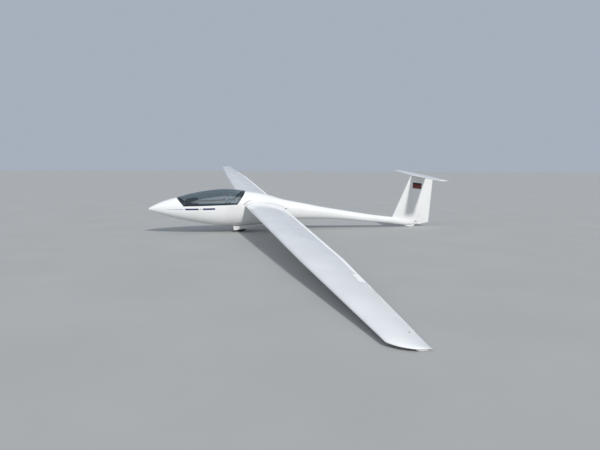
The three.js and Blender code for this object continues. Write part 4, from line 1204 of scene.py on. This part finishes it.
SEAT = Line([(0.930, 0.372), (1.000, 0.315), (1.090, 0.276), (1.210, 0.276), (1.330, 0.252), (1.430, 0.262),
             (1.510, 0.330), (1.620, 0.500), (1.738, 0.690), (1.780, 0.760)], 0.002)
SEAT_THICKNESS = 0.006
BOLSTER = {"from": 0.62, "over": 0.38, "height": 0.034}


def seat_length_at(x):
    lengths = np.linspace(0, SEAT.end, 400)
    return float(np.interp(x, SEAT.x(lengths), lengths))


def seat_surface(share, s, lift):
    """A point on the seat: share runs from wall to wall, clear of the canopy frame."""
    ease = min(1, max(0, (abs(share) - BOLSTER["from"]) / BOLSTER["over"]))
    x, z = SEAT.at(s, BOLSTER["height"] * ease * ease * (3 - 2 * ease) + lift)
    inset = WALL + 0.001 + 0.020 * min(1, max(0, (z - sill_height(x) + 0.06) / 0.03))
    return x, share * max(0.02, skin_half(x, z, inset)), z


shares = np.sin(np.linspace(-1, 1, 49) * math.pi / 2)
bucket = slab(seat_surface, shares, np.linspace(0.004, SEAT.end - 0.004, 90), (0, -SEAT_THICKNESS))
piece(bucket, "seat_bucket", COCKPIT, stands_for="seat_pan", sharp=50)


# Cushions: sewn pads, blown up by a cloth simulation

PAD = {"inset": 0.008, "voxel": 0.0055, "end": 0.035, "corner": 0.022, "piping": 0.0028, "frames": 20,
       "middle": 0.44, "rise": 0.36, "side_round": 0.28, "top_round": 0.55, "dip": 0.0065, "low": 0.0012}


def blown_up(thing, places, cap):
    """The places of a closed mesh's points after it is blown up as cloth, none moved further than cap."""
    cloth = thing.modifiers.new("cloth", "CLOTH")
    cloth.settings.use_pressure = True
    cloth.settings.uniform_pressure_force = 4
    cloth.settings.effector_weights.gravity = 0
    cloth.settings.quality = 4
    cloth.collision_settings.use_collision = False
    for number in range(1, PAD["frames"] + 1):
        scene.frame_set(number)
    blown = bpy.data.meshes.new_from_object(thing.evaluated_get(bpy.context.evaluated_depsgraph_get()))
    after = np.array([vertex.co for vertex in blown.vertices])
    thing.modifiers.clear()
    scene.frame_set(1)
    bpy.data.meshes.remove(blown)
    move = after - places
    size = np.linalg.norm(move, axis=1, keepdims=True)
    return places + move * np.minimum(1, cap / np.maximum(size, 1e-9))


def pad(name, line, half, thickness, seams, look, stands_for, cap=0.007):
    """A sewn pad on a line: seams run across it at shares of its length, and piping round its edge."""
    line = Line(line, 0.003)
    length = line.end
    rings = []
    for s in np.linspace(PAD["inset"], length - PAD["inset"], 34):
        end = min(s, length - s) / PAD["end"]
        swell = math.sqrt(max(0.0, 1 - (1 - min(1, end)) ** 2)) * 0.65 + 0.35
        rings.append([])
        for a in turns(44):
            up_share = bent(math.sin(a), PAD["top_round"])
            x, z = line.at(s, thickness * (PAD["middle"] + PAD["rise"] * swell * up_share))
            rings[-1].append((x, (half - PAD["inset"]) * bent(math.cos(a), PAD["side_round"]), z))
    thing = loft(rings)
    change = thing.modifiers.new("even", "REMESH")
    change.mode = "VOXEL"
    change.voxel_size = PAD["voxel"]
    evaluated(thing)
    places = np.array([vertex.co for vertex in thing.data.vertices])
    places = blown_up(thing, places, cap)
    spans = np.linspace(0, length, 160)
    middles = np.array([line.at(s) for s in spans])
    ups = np.array([line.at(s, 1.0) for s in spans]) - middles
    lengths = []
    for vertex, place in zip(thing.data.vertices, places):
        nearest = int(np.argmin((middles[:, 0] - place[0]) ** 2 + (middles[:, 1] - place[2]) ** 2))
        lengths.append(spans[nearest])
        up = ups[nearest]
        lift = (place[0] - middles[nearest][0]) * up[0] + (place[2] - middles[nearest][1]) * up[1]
        wanted = lift
        if lift > thickness * 0.45:
            share = spans[nearest] / length
            dip = sum(math.exp(-((share - seam) * length / 0.006) ** 2) for seam in seams)
            edge = math.exp(-((abs(place[1]) - half * 0.80) / 0.005) ** 2)
            wanted = lift - PAD["dip"] * min(1, dip + 0.8 * edge)
        wanted = max(wanted, PAD["low"])
        vertex.co = (place[0] + up[0] * (wanted - lift), place[1], place[2] + up[1] * (wanted - lift))
    thing.modifiers.new("smooth", "SUBSURF").levels = 1
    piece(evaluated(thing), name, look, stands_for=stands_for, sharp=180)
    lengths, widths = np.array(lengths), places[:, 1]
    low, high, corner = lengths.min() + 0.002, lengths.max() - 0.002, PAD["corner"]

    def reach(s):
        return abs(widths[abs(lengths - s) < 0.012]).max() - 0.002

    path = [(s, reach(s)) for s in np.linspace(low + corner, high - corner, 26)]
    turn = reach(high - corner) - corner
    path += [(high, y) for y in np.linspace(turn, -turn, 18)]
    path += [(s, -reach(s)) for s in np.linspace(high - corner, low + corner, 26)]
    turn = reach(low + corner) - corner
    path += [(low, y) for y in np.linspace(-turn, turn, 18)]
    route = [(x, y, z) for y, (x, z) in ((y, line.at(s, thickness * 0.52)) for s, y in path)]
    piece(tube(route, PAD["piping"], 10), f"{name}_piping", look, sharp=60)


pad("seat_pad", [(1.215, 0.275), (1.270, 0.263), (1.330, 0.253), (1.385, 0.252), (1.430, 0.262),
                 (1.478, 0.303)], 0.140, 0.030, (0.25, 0.5, 0.75), CUSHION, "seat_cushion")
pad("back_pad", [(1.530, 0.361), (1.575, 0.430), (1.620, 0.500), (1.674, 0.587), (1.728, 0.674)],
    0.162, 0.030, (0.2, 0.4, 0.6, 0.8), CUSHION, "back_cushion")
pad("head_pad", [(1.809, 0.762), (1.809, 0.820), (1.809, 0.878)],
    0.095, 0.040, (), HEADREST, "headrest", 0.006)


# Harness: four straps that lie on the pads and meet in a round buckle

STRAP = {"width": 0.044, "thickness": 0.0022}
SHOULDER = {"below_top": 0.012, "y": 0.075, "inwards": 0.052, "past_buckle": 0.030, "sink": 0.07,
            "over": 0.002}
HOLLOW = {"depth": 0.020, "x": 1.500, "length": 0.045}
LAP = {"outer": 0.190, "inwards": 0.166, "edge": 0.140, "bulge": 0.012, "bulge_y": 0.145}
BUCKLE_S = seat_length_at(1.388)
LAP_S = seat_length_at(1.455)
HOLLOW_S = seat_length_at(HOLLOW["x"])
STRAP_TOP_S = SEAT.end - SHOULDER["below_top"]
PAD_TOP = 0.0375


def ribbon(route, side_way=ACROSS, width=STRAP["width"], thickness=STRAP["thickness"]):
    """A flat strap along a route, its width across the route and as near to side_way as that allows."""
    route = [Vector(point) for point in route]
    rings = []
    for i, point in enumerate(route):
        along = (route[min(i + 1, len(route) - 1)] - route[max(i - 1, 0)]).normalized()
        wide_way = Vector(side_way)
        wide_way = (wide_way - along * wide_way.dot(along)).normalized()
        up = along.cross(wide_way)
        if up.z < 0:
            up = -up
        half, lift = wide_way * width / 2, up * thickness / 2
        flat = half * 0.97
        rings.append([tuple(corner) for corner in (
            point + flat + lift, point + half, point + flat - lift,
            point - flat - lift, point - half, point - flat + lift)])
    return loft(rings)


def on_seat(s, y, lift):
    x, z = SEAT.at(s, lift)
    return x, y, z


for side, label in SIDES:
    route, lap = [], []
    for t in np.linspace(0, 1, 40):
        s = STRAP_TOP_S + t * (BUCKLE_S + SHOULDER["past_buckle"] - SEAT.end + SHOULDER["below_top"])
        hollow = HOLLOW["depth"] * math.exp(-((s - HOLLOW_S) / HOLLOW["length"]) ** 2)
        y = side * (SHOULDER["y"] - SHOULDER["inwards"] * t ** 1.5)
        sink = PAD_TOP * max(0.0, 1 - t / SHOULDER["sink"]) ** 1.5
        route.append(on_seat(s, y, PAD_TOP + SHOULDER["over"] + hollow - sink))
    piece(ribbon(route), f"shoulder_strap_{label}", WEBBING, sharp=50)
    for t in np.linspace(0, 1, 26):
        y = LAP["outer"] - t * LAP["inwards"]
        lift = PAD_TOP + 0.003 - 0.030 * max(0, (y - LAP["edge"]) / 0.05)
        bulge = LAP["bulge"] * math.exp(-((y - LAP["bulge_y"]) / 0.02) ** 2)
        lap.append(on_seat(LAP_S + t * (BUCKLE_S - LAP_S), side * y, lift + bulge))
    piece(ribbon(lap, AFT), f"lap_strap_{label}", WEBBING, sharp=50)
    slot_place = Vector(on_seat(STRAP_TOP_S, side * SHOULDER["y"], 0.003))
    slot_up = (Vector(on_seat(STRAP_TOP_S, side * SHOULDER["y"], 0.02)) - slot_place).normalized()
    slot_rim = oriented_block(slot_place, ACROSS, slot_up, (-0.031, -0.006, -0.012), (0.031, 0.0025, 0.012))
    piece(rounded(slot_rim, 0.002), f"strap_slot_{label}", TRIM)
    anchor = oriented_block(lap[0], ACROSS, UP, (-0.012, -0.012, -0.024), (0.012, 0.006, 0.024))
    piece(rounded(anchor, 0.002), f"lap_anchor_{label}", STEEL)
    piece(rounded(ribbon(route[14:17], ACROSS, 0.054, 0.006), 0.0012), f"strap_adjuster_{label}", STEEL)

x, z = SEAT.at(BUCKLE_S, PAD_TOP + SHOULDER["over"])
x1, z1 = SEAT.at(BUCKLE_S, PAD_TOP + 0.020)
outline = [(0, 0), (0.031, 0), (0.032, 0.008), (0.026, 0.013), (0.0245, 0.018), (0.018, 0.0195), (0, 0.0195)]
buckle = lathe(outline, (x, 0, z), Vector((x1 - x, 0, z1 - z)).normalized(), 48)
piece(rounded(buckle, 0.0008), "harness_buckle", STEEL)


# Instrument housing and panel

# Housing sections: station, half width, low, high
POD = np.array([[0.790, 0.110, 0.660, 0.742], [0.850, 0.146, 0.560, 0.782], [1.060, 0.156, 0.560, 0.806]])
POD_ROUND = 3.4
PLATE = (0.148, 0.568, 0.796)
PANEL_X = 1.0640


def pod_ring(x, half, low, high):
    middle, rise = (low + high) / 2, (high - low) / 2
    return [(x, half * bent(math.cos(a), 2 / POD_ROUND), middle + rise * bent(math.sin(a), 2 / POD_ROUND))
            for a in turns(72)]


pod_rows = []
for x in [*np.linspace(0.790, 0.850, 9), *np.linspace(0.880, 1.052, 6), 1.060]:
    ease = math.sin(min(1.0, (x - 0.790) / 0.060) * math.pi / 2)
    pod_rows.append(pod_ring(x, *row_at(POD, 0.790 + 0.060 * ease if x < 0.850 else x)))
piece(rounded(loft(pod_rows), 0.004, 3, 45), "instrument_hood", HOOD, stands_for="instrument_pod", sharp=40)
plate = loft([pod_ring(1.0603, *PLATE), pod_ring(PANEL_X, *PLATE)])
piece(rounded(plate, 0.0012, 2, 60), "panel_plate", TRIM, stands_for="instrument_panel", sharp=40)


def on_panel(y, z, out=0.0):
    return Vector((PANEL_X + out, y, z))


def panel_mark(low, high, width, end):
    """A flat mark on the panel between two points, from one width to another."""
    wide = (high - low).normalized().cross(Vector(AFT)).normalized()
    corners = [low + wide * width / 2, low - wide * width / 2, high - wide * end / 2, high + wide * end / 2]
    return solid([[corner + Vector((out, 0, 0)) for corner in corners] for out in (0, 0.0004)])


def number_mesh(text, place, size):
    """A plain number, standing on the panel."""
    curve = bpy.data.curves.new("number", "FONT")
    curve.body = text
    curve.size = size
    curve.extrude = 0.0002
    curve.align_x = "CENTER"
    curve.align_y = "CENTER"
    curve.resolution_u = 2
    made = bpy.data.objects.new("number", curve)
    scene.collection.objects.link(made)
    bpy.context.view_layer.update()
    mesh = bpy.data.meshes.new_from_object(made.evaluated_get(bpy.context.evaluated_depsgraph_get()))
    bpy.data.objects.remove(made)
    thing = bpy.data.objects.new("number", mesh)
    scene.collection.objects.link(thing)
    mesh.transform(Matrix.Translation(place) @ Matrix((UP, AFT, ACROSS)).to_4x4())
    return weld(thing)


TICK = {"end": 0.82, "short": (0.75, 0.0007), "long": (0.68, 0.0011), "out": 0.0014}
NEEDLE = {"tail": -0.18, "tip": 0.66, "widths": (0.0022, 0.0005), "out": 0.0024}
NUMBER = {"place": 0.53, "size": 0.24, "out": 0.0016}


def dial(name, y, z, radius, numbers, sweep, needle):
    """A round instrument: a bezel, a black face with ticks and plain numbers, and a needle."""
    def spot(share, degrees, out):
        angle = math.radians(degrees)
        return on_panel(y + radius * share * math.cos(angle), z + radius * share * math.sin(angle), out)

    bezel = [(radius * 0.86, 0.0), (radius, 0.0), (radius, 0.004), (radius * 0.95, 0.0065),
             (radius * 0.88, 0.006), (radius * 0.86, 0.0015)]
    face = [(0, 0.0002), (radius * 0.875, 0.0002), (radius * 0.875, 0.0012), (0, 0.0012)]
    piece(lathe(bezel, on_panel(y, z), AFT, 56), f"{name}_bezel", TRIM, sharp=30)
    piece(lathe(face, on_panel(y, z), AFT, 48), f"{name}_face", DIAL_FACE, sharp=30)
    start, span = sweep
    last = len(numbers) - 1
    marks = []
    for i in range(4 * last + 1):
        degrees = start - span * i / (4 * last)
        inner, width = TICK["short" if i % 4 else "long"]
        marks.append(panel_mark(spot(inner, degrees, TICK["out"]), spot(TICK["end"], degrees, TICK["out"]),
                                width, width))
    marks.append(panel_mark(*(spot(NEEDLE[key], needle, NEEDLE["out"]) for key in ("tail", "tip")),
                            *NEEDLE["widths"]))
    for i, number in enumerate(numbers):
        place = spot(NUMBER["place"], start - span * i / last, NUMBER["out"])
        marks.append(number_mesh(number, place, radius * NUMBER["size"]))
    piece(joined(marks), f"{name}_marks", DIAL_WHITE, sharp=30)
    cap = bar(on_panel(y, z, 0.001), on_panel(y, z, 0.0042), radius * 0.075, sides=24)
    piece(rounded(cap, 0.0006), f"{name}_cap", TRIM)


dial("airspeed", -0.092, 0.738, 0.0400, ["0", "5", "10", "15", "20", "25"], (90, 320), 90)
dial("altimeter", 0.0, 0.738, 0.0400, [str(i) for i in range(10)], (90, 324), 52)
dial("variometer", 0.092, 0.738, 0.0400, ["5", "3", "1", "0", "1", "3", "5"], (450, 300), 300)
dial("compass", -0.098, 0.646, 0.0285, ["0", "9", "18", "27"], (90, 270), 90)
dial("clock", 0.098, 0.646, 0.0285, ["12", "3", "6", "9"], (90, 270), 20)

radio_parts = [rounded(block((PANEL_X - 0.001, -0.056, 0.622), (PANEL_X + 0.009, 0.056, 0.682)), 0.002)]
knob_outline = [(0, 0), (0.010, 0), (0.0095, 0.012), (0.0085, 0.014), (0, 0.014)]
for y in (-0.040, 0.040):
    radio_parts.append(rounded(lathe(knob_outline, on_panel(y, 0.652, 0.009), AFT, 28), 0.0006))
piece(joined(radio_parts), "radio_unit", TRIM)
screen = block((PANEL_X + 0.0085, -0.024, 0.642), (PANEL_X + 0.0098, 0.024, 0.664))
piece(rounded(screen, 0.0004), "radio_screen", DIAL_FACE)
switches = []
for y in (-0.075, -0.045, 0.045, 0.075):
    switches.append(rounded(bar(on_panel(y, 0.597), on_panel(y, 0.597, 0.004), 0.0065, sides=6), 0.0005))
    switches.append(bar(on_panel(y, 0.597, 0.003), on_panel(y, 0.601, 0.018), 0.0018, 0.0026, sides=14))
for half, z in ((0.138, 0.690), (0.118, 0.590), (0.100, 0.786)):
    for y in (-half, half):
        switches.append(rounded(bar(on_panel(y, z), on_panel(y, z, 0.0022), 0.0042, sides=20), 0.0008))
piece(joined(switches), "panel_switches", ALLOY)
knob = lathe([(0, 0), (0.013, 0), (0.017, 0.006), (0.016, 0.016), (0.010, 0.022), (0, 0.023)],
             on_panel(0, 0.592, 0.028), AFT, 32)
shaft = bar(on_panel(0, 0.592), on_panel(0, 0.592, 0.030), 0.004, sides=16)
piece(joined([shaft, rounded(knob, 0.001)]), "release_knob", YELLOW_HANDLE)

# Control stick with a rubber boot

STICK_FOOT = Vector((1.150, 0, 0.2765))
boot = [(0, 0), (0.044, 0), (0.046, 0.004)]
for i in range(5):
    size = 0.041 - 0.0055 * i
    boot += [(size, 0.007 + 0.011 * i), (size - 0.0075, 0.0125 + 0.011 * i)]
boot += [(0.0125, 0.066), (0.0125, 0.070), (0, 0.070)]
piece(lathe(boot, STICK_FOOT, UP, 48), "stick_boot", RUBBER, sharp=40)
grip = [(0, 0.066), (0.0088, 0.066), (0.0088, 0.244), (0.0150, 0.250)]
grip += [(0.0165 + 0.0016 * math.cos(i * math.pi / 3), 0.256 + 0.0055 * i) for i in range(17)]
grip += [(0.0185, 0.352), (0.0175, 0.364), (0.0120, 0.372), (0, 0.374)]
piece(lathe(grip, STICK_FOOT, UP, 40), "stick_grip", TRIM, stands_for="control_stick", sharp=40)
outline = [(0, 0), (0.006, 0), (0.0058, 0.005), (0.004, 0.0065), (0, 0.0068)]
piece(lathe(outline, (1.150, 0, 0.2765 + 0.3735), UP, 24), "stick_button", RED_HANDLE)

# Camera, light and floor

camera_data = bpy.data.cameras.new("camera")
camera_data.lens = 27.66
camera_data.sensor_width = 36
camera = bpy.data.objects.new("camera", camera_data)
scene.collection.objects.link(camera)
camera_place = (2.7514, 10.5929, 1.4270)
camera_forward = Vector((-0.24846, -0.96134, -0.11868))
camera_up = Vector((-0.02694, -0.11561, 0.99293))
camera_right = camera_forward.cross(camera_up).normalized()
camera_up = camera_right.cross(camera_forward).normalized()
camera_turn = Matrix((camera_right, camera_up, -camera_forward)).transposed()
camera.matrix_world = Matrix.Translation(camera_place) @ camera_turn.to_4x4()
scene.camera = camera


def far_light(name, towards, width, strength, colour):
    """A wide far light, as from a large soft box, that comes from a direction."""
    data = bpy.data.lights.new(name, "SUN")
    data.angle = math.radians(width)
    data.energy = strength
    data.color = colour
    light = bpy.data.objects.new(name, data)
    light.rotation_euler = Vector(towards).to_track_quat("Z", "Y").to_euler()
    scene.collection.objects.link(light)
    return light


TO_KEY = (-0.20, 1.08, 0.80)
far_light("key", TO_KEY, 5, 2.55, (1.0, 0.985, 0.955)).visible_glossy = False
far_light("key_shine", TO_KEY, 45, 0.7, (0.96, 0.98, 1.0)).visible_diffuse = False
far_light("fill", (0.9, 0.3, 0.8), 40, 0.35, (0.90, 0.95, 1.0))

world = bpy.data.worlds.new("studio")
world.use_nodes = True
background = world.node_tree.nodes["Background"]
background.inputs["Color"].default_value = (0.70, 0.79, 0.93, 1)
background.inputs["Strength"].default_value = 0.55
scene.world = world
scene.view_settings.view_transform = "Standard"

FLOOR_RADIUS = 500.0
FLOOR_SIDES = 96
floor = new_object([(FLOOR_RADIUS * math.cos(a), FLOOR_RADIUS * math.sin(a), 0) for a in turns(FLOOR_SIDES)],
                   [tuple(range(FLOOR_SIDES))])
floor.name = "floor"
shade_smooth(floor)
floor_paint, floor_tree, floor_shader = material("floor_paint", (0.42, 0.42, 0.41), 0.9)
tinted(floor_tree, floor_shader, noise(floor_tree, 0.8, 6), (0.41, 0.41, 0.40), (0.43, 0.43, 0.42))
floor.data.materials.append(floor_paint)
